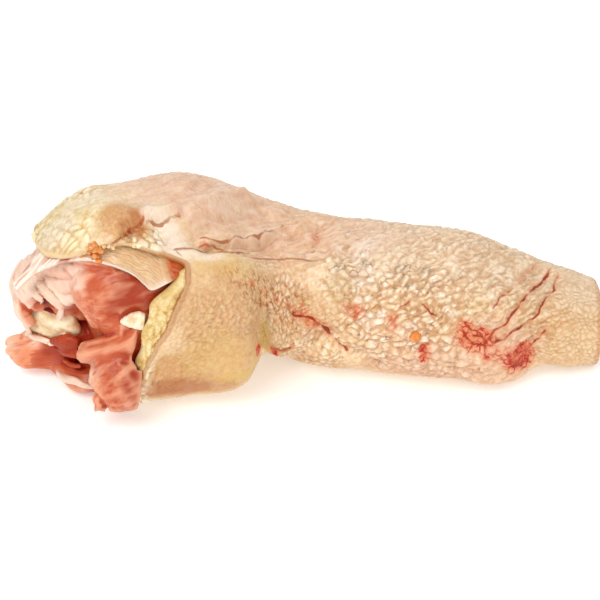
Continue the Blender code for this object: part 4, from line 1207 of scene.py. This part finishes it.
def makeBits():
    draw = np.random.default_rng(91)
    places = []
    blob = bits["blob"]
    for _ in range(blob["count"]):
        off = draw.normal(size=3) * blob["spread"]
        centre = np.array(blob["centre"]) + off - (0, 0.35 * off[0], 0)
        places.append((centre, draw.uniform(*blob["radius"]), draw.uniform(0.8, 1.2)))
    along, around, radius = bits["drop"]
    places.append((onSkin(along, around, radius * 0.1), radius, 1.0))
    for along, around, count, spread, radius, orange in bits["strings"]:
        for _ in range(count):
            shiftedAlong = along + draw.normal(0, spread) * 0.7
            shiftedRound = around + draw.normal(0, spread) * 2.6
            size = radius * draw.uniform(0.8, 1.5)
            centre = onSkin(shiftedAlong, shiftedRound, size * 0.85)
            places.append((centre, size, orange * draw.uniform(0.3, 1.2)))
    points, faces, masks = [], [], []
    first = 0
    for centre, radius, orange in places:
        way = draw.normal(size=(2, 3))[0]
        way = way / np.linalg.norm(way) * radius * 0.95
        path = [centre - way, centre - way * 0.6, centre, centre + way * 0.6, centre + way]
        radii = [radius * share for share in (0.25, 0.8, 1.0, 0.8, 0.25)]
        made = withEnds(podRings(path, radii, 13, 18, 0.04))
        points.append(made)
        faces += cappedFaces(13, 18, first)
        first += len(made)
        masks += [(min(orange, 1.0), draw.uniform())] * len(made)
    points = np.concatenate(points)
    lumps = Grain(92).layers(points / 1.1, 2)
    piece = makeMesh("skin_bits", points, faces)
    points, normals, _ = readMesh(piece)
    writePoints(piece, points + normals * (0.34 * lumps)[:, None])
    paint(piece.data, "bit", np.array(masks).T)
    return piece


class Wire:
    # an output of a finish's nodes; arithmetic on it adds Math nodes
    def __init__(self, finish, output):
        self.finish = finish
        self.output = output

    def math(self, operation, *values, clamp=False):
        settings = {"operation": operation, "use_clamp": clamp}
        return self.finish.node("ShaderNodeMath", settings, dict(enumerate(values)))

    def __add__(self, other):
        return self.math("ADD", self, other)

    def __sub__(self, other):
        return self.math("SUBTRACT", self, other)

    def __rsub__(self, other):
        return self.math("SUBTRACT", other, self)

    def __mul__(self, other):
        return self.math("MULTIPLY", self, other)

    def clamped(self):
        return self.math("ADD", self, 0.0, clamp=True)

    __radd__ = __add__
    __rmul__ = __mul__


class Finish:
    # one material, and the node that each call adds to it
    def __init__(self, name, **constants):
        self.material = bpy.data.materials.new(name)
        self.material.use_nodes = True
        self.tree = self.material.node_tree
        self.shader = self.tree.nodes["Principled BSDF"]
        self.set(**constants)

    def node(self, kind, settings=None, inputs=None, output=0):
        made = self.tree.nodes.new(kind)
        for name, value in (settings or {}).items():
            if name == "stops":
                self.setStops(made.color_ramp, value)
            else:
                setattr(made, name, value)
        for name, value in (inputs or {}).items():
            self.feed(made.inputs[name], value)
        return Wire(self, made.outputs[output])

    def feed(self, socket, value):
        if isinstance(value, Wire):
            self.tree.links.new(value.output, socket)
        else:
            socket.default_value = value

    def setStops(self, ramp, stops):
        while len(ramp.elements) < len(stops):
            ramp.elements.new(1.0)
        for element, (position, colour) in zip(ramp.elements, stops):
            element.position = position
            element.color = colour

    def ramp(self, factor, *stops):
        return self.node("ShaderNodeValToRGB", {"stops": stops}, {0: factor})

    def mix(self, factor, first, second):
        # the node keeps its factor from 0 to 1
        return self.node("ShaderNodeMix", {"data_type": "RGBA"}, {0: factor, 6: first, 7: second}, 2)

    def tinted(self, body, look, *layers):
        # one colour of the look after another laid over the body
        for factor, colour in layers:
            body = self.mix(factor, body, look[colour])
        return body

    def attribute(self, title, output=0):
        return self.node("ShaderNodeAttribute", {"attribute_name": title}, output=output)

    def masks(self, title):
        parts = self.node("ShaderNodeSeparateColor", None, {0: self.attribute(title)}).output.node
        return [Wire(self, output) for output in parts.outputs]

    def vector(self, operation, first, second):
        return self.node("ShaderNodeVectorMath", {"operation": operation}, {0: first, 1: second})

    def place(self, size):
        # object coordinates in units of size mm
        return self.vector("MULTIPLY", self.node("ShaderNodeTexCoord", output=3), (1 / (size * mm),) * 3)

    def noise(self, vector, detail=2.0, roughness=0.5, output=0):
        inputs = {"Vector": vector, "Scale": 1.0, "Detail": detail, "Roughness": roughness}
        return self.node("ShaderNodeTexNoise", None, inputs, output)

    def cells(self, vector, feature="F1"):
        return self.node("ShaderNodeTexVoronoi", {"feature": feature}, {"Vector": vector, "Scale": 1.0})

    def bump(self, height, distance):
        return self.node("ShaderNodeBump", None, {"Height": height, "Distance": distance * mm})

    def set(self, **inputs):
        for name, value in inputs.items():
            self.feed(self.shader.inputs[name.replace("_", " ")], value)


def rgb(red, green, blue):
    # a colour as a photo shows it, from 0 to 255, as the light it stands for
    parts = [value / 255 for value in (red, green, blue)]
    return (*[part / 12.92 if part < 0.04045 else ((part + 0.055) / 1.055) ** 2.4 for part in parts], 1.0)


def wetFinish(name, under, depth, spread, coatRoughness=0.12, ior=1.4):
    # a moist finish: how much light goes under its surface, how many mm deep, and the share of
    # that depth for red, green and blue
    return Finish(
        name, Subsurface_Weight=under, Subsurface_Scale=depth * mm, Subsurface_Radius=spread,
        Coat_Roughness=coatRoughness, IOR=ior,
    )


skinLook = {
    # groove, slope and top, and fatGroove and fatTop, follow the height of the relief: darker in the grooves
    # and paler on the tops, painted shade and painted highlight over the skin's own tones
    "groove": rgb(204, 156, 106),
    "slope": rgb(234, 204, 162),
    "top": rgb(254, 243, 222),
    # crack: painted shade in the cracks between the pebbles; it is also the colour of the specks
    "crack": rgb(168, 104, 50),
    "fatGroove": rgb(212, 170, 104),
    "fatTop": rgb(251, 242, 212),
    "pink": rgb(224, 178, 156),
    "tan": rgb(206, 156, 96),
    "bulge": rgb(206, 140, 78),
    "white": rgb(244, 230, 212),
    "olive": rgb(190, 164, 104),
    "yellow": rgb(214, 180, 88),
    "blood": rgb(184, 28, 0),
    "redLine": rgb(154, 38, 4),
    "stain": rgb(226, 122, 72),
    # brown: painted shade of the brown areas, of the feet of the folds and of the seams; also the cut edge's
    # line and the specks' lines
    "brown": rgb(172, 94, 34),
    "mottlePink": rgb(230, 174, 140),
    "mottleYellow": rgb(236, 212, 152),
}


def skinFinish():
    look = skinLook
    finish = wetFinish("raw_skin", 0.18, 1.0, (1.0, 0.5, 0.28), 0.18)
    fine, lines, line = finish.masks("form")
    fat, pink, tan = finish.masks("fatty")
    # brown and white carry painted shade and painted highlight as well as stains and pale patches
    blood, brown, white = finish.masks("stain")
    olive, foot, pebbled = finish.masks("other")
    speckled, yellow, tone = finish.masks("more")
    even = finish.masks("calm")[0]
    grain = finish.noise(finish.place(0.9), 3.0, 0.6)
    blotch = finish.noise(finish.place(6.0), 3.0, 0.55)
    mottle = finish.noise(finish.place(1.9), 3.0, 0.6)
    flatPlace = finish.attribute("flat", 1)

    def scaled(vector, size, shift=0.0):
        # the skin laid flat, in units of size mm
        times = finish.vector("MULTIPLY", vector, (100 / size, 100 / size, 1.0))
        return finish.vector("ADD", times, (shift, shift, shift))

    warp = finish.noise(scaled(flatPlace, 2.6), output=1)
    bent = finish.vector("ADD", flatPlace, finish.vector("MULTIPLY", warp, (0.018, 0.018, 0.0)))

    def cracks(size, width, gateSize, gate, shift):
        # thin broken lines between the pebbles, painted dark as shade in the grooves
        edge = finish.cells(scaled(bent, size, shift), "DISTANCE_TO_EDGE")
        line = ((width - edge) * (1.6 / width)).clamped()
        return line * ((finish.noise(scaled(flatPlace, gateSize, shift)) - gate) * 5.0).clamped()

    coarseCracks = cracks(1.7, 0.08, 2.6, 0.47, 0.0) * (0.12 + 0.6 * pebbled)
    fineCracks = cracks(0.85, 0.13, 1.8, 0.5, 7.0) * (0.25 + 0.3 * pebbled)
    cracked = (coarseCracks + fineCracks).clamped()
    rough = 0.16 * (grain - 0.5) + 0.1 * (mottle - 0.5)
    redLine = ((line + 0.6 * rough - 0.84) * 10.0).clamped()
    web = ((0.15 - finish.cells(scaled(bent, 1.25, 3.0), "DISTANCE_TO_EDGE")) * 14.0).clamped()
    web = web * ((finish.noise(scaled(flatPlace, 1.6, 5.0)) - 0.36) * 4.0).clamped()
    # the feet of the folds and the seams, painted brown as shade
    footLine = ((foot + 0.6 * rough - 0.86) * 8.0).clamped()
    specksLine = cracks(1.15, 0.24, 1.4, 0.42, 11.0) * speckled
    dots = finish.cells(scaled(bent, 0.95, 9.0))
    specks = ((grain - 0.58) * 7.0).clamped() * (0.25 + tan)

    # the colour follows the relief: painted shade in the grooves and painted highlight on the tops, over the
    # skin's own tones
    small = (0.5 * (grain - 0.5) + (0.45 - dots) * (0.25 + 0.25 * pebbled)) * (1 - 0.75 * even)
    level = (fine + small).clamped()
    body = finish.ramp(level, (0.1, look["groove"]), (0.48, look["slope"]), (0.92, look["top"]))
    body = finish.mix(fat, body, finish.ramp(level, (0.15, look["fatGroove"]), (0.7, look["fatTop"])))
    body = finish.mix(pink * 0.85, body, finish.mix(0.7, body, look["pink"]))
    body = finish.mix(tan * 0.85, body, finish.mix(0.75, body, look["tan"]))
    pooled = ((blood + 3.5 * rough - 1.0) * 2.4).clamped()
    webbed = ((blood - 0.25) * 2.2).clamped() * web
    body = finish.tinted(
        body, look,
        (tan - 0.9, "bulge"),
        (specks * 0.4, "crack"),
        (((mottle - 0.54) * 4.0).clamped() * 0.42, "mottlePink"),
        (((0.46 - mottle) * 4.0).clamped() * 0.5, "mottleYellow"),
        # painted shade, olive-grey
        (olive * 0.5, "olive"),
        (yellow * (0.35 + 0.7 * grain), "yellow"),
        # white: pale patches, with the painted sheen on top and the painted highlight on the fold's tip
        (white * 0.75, "white"),
        (((blotch - 0.52) * 1.6).clamped() * 0.36, "mottlePink"),
        (((tone - 0.62) * 1.6).clamped() * pebbled, "top"),
        # painted shade in the fine creases
        (lines * 0.4, "groove"),
        # painted shade in the cracks between the pebbles
        (cracked * 0.8, "crack"),
        # painted shade along the lower rim, in the crook and at the feet of the folds, with the cut edge's
        # brown line and the specks
        (brown * 0.68 + footLine * 0.85 + specksLine * 0.9, "brown"),
        (blood * (0.2 + 0.8 * grain) + 0.4 * line * line, "stain"),
        (webbed * 0.95 + pooled * 0.7, "blood"),
        (redLine * 0.9, "redLine"),
    )
    pores = finish.cells(finish.place(0.55))
    skinGrain = pores * 0.6 + finish.noise(finish.place(0.3)) * 0.5 - cracked * 1.4 - redLine - footLine
    finish.set(
        Base_Color=body,
        Roughness=(0.5 - 0.12 * blood - 0.1 * fat + 0.16 * (grain - 0.5)),
        Coat_Weight=(0.2 + 0.5 * (blotch - 0.45) - 0.3 * redLine - 0.25 * blood).clamped(),
        Normal=finish.bump(skinGrain, 0.10),
    )
    return finish.material


fleshLook = {
    "deep": rgb(164, 54, 20),
    "mid": rgb(184, 78, 42),
    "pale": rgb(200, 98, 60),
    "palest": rgb(226, 140, 100),
    "fibre": rgb(240, 178, 140),
    # painted shade in hollows and gaps, and the red of the red strands
    "shadeAndBloodRed": rgb(164, 26, 6),
    "dark": rgb(104, 10, 4),
    "white": rgb(246, 220, 196),
    "film": rgb(242, 212, 192),
    # filmFold: the film's folds, painted darker as shade, over its own pink
    "filmFold": rgb(202, 132, 102),
}


def fleshFinish():
    look = fleshLook
    finish = wetFinish("raw_muscle", 0.14, 1.2, (1.0, 0.35, 0.22), ior=1.36)
    finish.set(Specular_IOR_Level=0.3)
    fibre = finish.attribute("fibre", 1)
    pale, hollow, closed = finish.masks("meat")
    streak, pit, film = finish.masks("mark")
    clear, white, red = finish.masks("join")

    def strands(wide, long, detail=2.0):
        return finish.noise(finish.vector("MULTIPLY", fibre, (100 / wide, 100 / wide, 100 / long)), detail)

    fine = strands(0.45, 7.0, 3.0)
    coarse = strands(1.6, 14.0)
    blotch = finish.noise(finish.place(4.0), 3.0, 0.55)
    level = (pale + clear * (0.16 * (coarse - 0.5) + 0.6 * (fine - 0.5)) + 0.3 * (streak - 0.5)).clamped()
    tones = zip((0.05, 0.4, 0.8, 1.0), (look[name] for name in ("deep", "mid", "pale", "palest")))
    # painted shade: dark red in hollows, in sheltered gaps and at the joins of the muscles, with the red
    # strands and blotches
    shadeAndBloodRed = (hollow - 0.7) * 2.0 + (closed - 0.35) * 1.3 + (blotch - 0.5) * 0.25
    shadeAndBloodRed = shadeAndBloodRed + (1 - clear) * 0.35 + red * 0.6
    body = finish.tinted(
        finish.ramp(level, *tones), look,
        (((fine - 0.62) * 5.0).clamped() * (0.15 + 0.5 * pale) * clear, "fibre"),
        # painted highlight: paler on the raised edges
        (((0.46 - hollow) * 3.0).clamped() * (0.6 - red), "fibre"),
        (shadeAndBloodRed, "shadeAndBloodRed"),
        # dark: painted shade deep in sheltered gaps and in the pit; on the core's cut face the pit mask is
        # the marrow
        ((closed - 0.6) * 2.2 + pit, "dark"),
    )
    filmTone = (streak + 0.4 * (blotch - 0.5)).clamped()
    body = finish.mix(film * 0.9, body, finish.ramp(filmTone, (0.15, look["filmFold"]), (0.5, look["film"])))
    body = finish.mix(white * 0.9, body, look["white"])
    relief = clear * (fine * 0.7 + coarse * 0.5) + finish.noise(finish.place(0.35)) * 0.25
    finish.set(
        Base_Color=body,
        Roughness=(0.4 + 0.2 * (blotch - 0.5) + 0.12 * (fine - 0.5)),
        Coat_Weight=(0.2 + 0.9 * (blotch - 0.5)).clamped(),
        Normal=finish.bump(relief, 0.14),
    )
    return finish.material


# fold is painted shade in the wrinkles' folds, shade the same between the streaks, and brown painted shade in
# the notch of the skin
fasciaLook = {
    "fold": rgb(186, 112, 86),
    "left": rgb(230, 182, 158),
    "right": rgb(220, 182, 136),
    "streak": rgb(238, 218, 184),
    "rim": rgb(244, 228, 212),
    "shade": rgb(206, 160, 112),
    "brown": rgb(186, 84, 24),
}


def fasciaFinish():
    look = fasciaLook
    finish = wetFinish("fascia_film", 0.25, 1.2, (1.0, 0.5, 0.35))
    relief, rim, right = finish.masks("film")
    grain = finish.noise(finish.place(1.0), 3.0, 0.6)
    level = (relief + 0.35 * (grain - 0.5)).clamped()
    left = finish.ramp(level, (0.1, look["fold"]), (0.5, look["left"]), (0.95, look["rim"]))
    tones = zip((0.02, 0.2, 0.5, 0.85), (look[name] for name in ("brown", "shade", "right", "streak")))
    body = finish.mix(right, left, finish.ramp(level, *tones))
    body = finish.mix(rim * 0.75, body, look["rim"])
    finish.set(
        Base_Color=body,
        Roughness=(0.36 + 0.2 * (grain - 0.5)),
        Coat_Weight=(0.5 + 0.8 * (grain - 0.5)).clamped(),
        Normal=finish.bump(grain * 0.6 + finish.noise(finish.place(0.35)) * 0.4, 0.12),
    )
    return finish.material


# groove, slope and top follow the lumps: painted shade in the grooves and paler tops, over the fat's own
# tones; line is painted shade in the gap beside the skin
fatLook = {
    "groove": rgb(196, 132, 64),
    "slope": rgb(216, 184, 114),
    "top": rgb(242, 225, 176),
    "line": rgb(184, 92, 36),
}


def fatFinish():
    look = fatLook
    finish = wetFinish("yellow_fat", 0.3, 1.4, (1.0, 0.6, 0.25), 0.15)
    relief, beside, _ = finish.masks("fat")
    grain = finish.noise(finish.place(0.8), 3.0, 0.6)
    patches = finish.noise(finish.place(2.6))
    level = (relief + 0.5 * (grain - 0.5) + 0.5 * (patches - 0.5)).clamped()
    body = finish.ramp(level, (0.14, look["groove"]), (0.45, look["slope"]), (0.9, look["top"]))
    body = finish.mix(beside * (0.5 + patches), body, look["line"])
    finish.set(
        Base_Color=body,
        Roughness=(0.4 + 0.25 * (grain - 0.5)),
        Coat_Weight=(0.35 + 0.8 * (patches - 0.5)).clamped(),
        Normal=finish.bump(grain + finish.noise(finish.place(0.3)) * 0.4, 0.12),
    )
    return finish.material


paleLook = {
    "lump": (rgb(212, 166, 116), rgb(240, 218, 182), rgb(252, 242, 222)),
    "gristle": (rgb(198, 138, 92), rgb(222, 190, 142), rgb(245, 229, 194)),
}


def paleFinish(name, colours, coat):
    finish = wetFinish(name, 0.25, 1.2, (1.0, 0.6, 0.4))
    relief = finish.masks("fat")[0]
    grain = finish.noise(finish.place(0.7), 3.0, 0.6)
    # darker where the lumps sink and paler on them: painted shade and highlight over the own cream of fat and
    # gristle
    level = (relief + 0.6 * (grain - 0.5)).clamped()
    finish.set(
        Base_Color=finish.ramp(level, *zip((0.08, 0.38, 0.75), colours)),
        Roughness=(0.38 + 0.2 * (grain - 0.5)),
        Coat_Weight=(coat + 0.6 * (grain - 0.5)).clamped(),
        Normal=finish.bump(grain, 0.12),
    )
    return finish.material


bitLook = {
    "crumb": (rgb(226, 184, 116), rgb(252, 238, 204)),
    "amber": (rgb(204, 96, 14), rgb(238, 158, 66)),
}


def bitFinish():
    finish = wetFinish("skin_crumbs", 0.3, 1.2, (1.0, 0.5, 0.25))
    orange, tone, _ = finish.masks("bit")
    grain = finish.noise(finish.place(0.8), 3.0, 0.6)
    body = finish.ramp((tone * 0.6 + 0.6 * grain).clamped(), *zip((0.2, 0.7), bitLook["crumb"]))
    amber = finish.ramp(grain, *zip((0.3, 0.7), bitLook["amber"]))
    finish.set(
        Base_Color=finish.mix(orange, body, amber),
        Roughness=(0.36 + 0.2 * (grain - 0.5)),
        Coat_Weight=(0.4 + 0.4 * orange).clamped(),
        Normal=finish.bump(grain, 0.1),
    )
    return finish.material


studio = {
    # place, width, power and colour of each light
    "lights": {
        "key": ((-0.3, -0.35, 0.7), 0.45, 3.05, (1.0, 0.99, 0.975)),
        "fill": ((0.35, -0.7, 0.35), 0.6, 1.5, (1.0, 1.0, 1.0)),
        "back": ((0.1, 0.6, 0.5), 0.5, 1.0, (1.0, 1.0, 1.0)),
    },
    "lightsTo": (0, 0, 0.01),
    "sky": 0.62,
    "floorReach": 3.0,
    "floorHeight": -0.0002,
    "floorGlow": 0.25,
}


def addFloor():
    mesh = bpy.data.meshes.new("floor")
    reach = studio["floorReach"]
    corners = [(-reach, -reach, 0), (reach, -reach, 0), (reach, reach, 0), (-reach, reach, 0)]
    mesh.from_pydata(corners, [], [(0, 1, 2, 3)])
    floor = placed("floor", mesh)
    floor.location.z = studio["floorHeight"]
    finish = Finish("pale_floor", Roughness=0.9, Emission_Strength=studio["floorGlow"])
    finish.set(Base_Color=rgb(248, 248, 247), Emission_Color=rgb(255, 255, 255))
    mesh.materials.append(finish.material)


def addLight(name, location, size, power, colour):
    lamp = bpy.data.lights.new(name, "AREA")
    lamp.shape = "DISK"
    lamp.size = size
    lamp.energy = power
    lamp.color = colour
    made = placed(name, lamp)
    made.location = location
    made.rotation_mode = "QUATERNION"
    made.rotation_quaternion = (Vector(studio["lightsTo"]) - Vector(location)).to_track_quat("-Z", "Y")


view = {"target": (-1.0, 1.75, 14.0), "elevation": 38.0, "distance": 368.0, "lens": 100.0, "sensor": 36.0}


def addCamera():
    lens = bpy.data.cameras.new("camera")
    lens.lens = view["lens"]
    lens.sensor_width = view["sensor"]
    lens.clip_start = 0.01
    camera = placed("camera", lens)
    slope = math.radians(view["elevation"])
    target = Vector(view["target"]) * mm
    camera.location = target + Vector((0, -math.cos(slope), math.sin(slope))) * view["distance"] * mm
    camera.rotation_euler = (math.pi / 2 - slope, 0, 0)
    bpy.context.scene.camera = camera


def addStudio():
    addFloor()
    for name, values in studio["lights"].items():
        addLight(name, *values)
    world = bpy.data.worlds.new("studio")
    world.use_nodes = True
    sky = world.node_tree.nodes["Background"]
    sky.inputs["Color"].default_value = (1.0, 1.0, 1.0, 1.0)
    sky.inputs["Strength"].default_value = studio["sky"]
    bpy.context.scene.world = world
    bpy.context.scene.view_settings.view_transform = "Standard"


def keep(piece, material, slot, *nodes):
    piece.data.materials.clear()
    piece.data.materials.append(material)
    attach(piece, "root")
    for node in nodes:
        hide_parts(node)
    print(piece.name, len(piece.data.polygons), "faces")


addCamera()
addStudio()
keep(makeSkin(), skinFinish(), "skin", "skin")
meat = fleshFinish()
lobes = makeLobes()
keep(lobes, meat, "flesh", "flesh")
keep(makeCore(), meat, "flesh", "flesh")
keep(makeFascia(lobes), fasciaFinish(), "fascia", "fascia")
keep(makeFatEdge(), fatFinish(), "fat", "fat_edge")
keep(makeFatLump(), paleFinish("white_fat", paleLook["lump"], 0.4), "fat", "fat_lump")
keep(makeGristle(), paleFinish("gristle_cream", paleLook["gristle"], 0.5), "gristle", "gristle")
keep(makeBits(), bitFinish(), "skin")
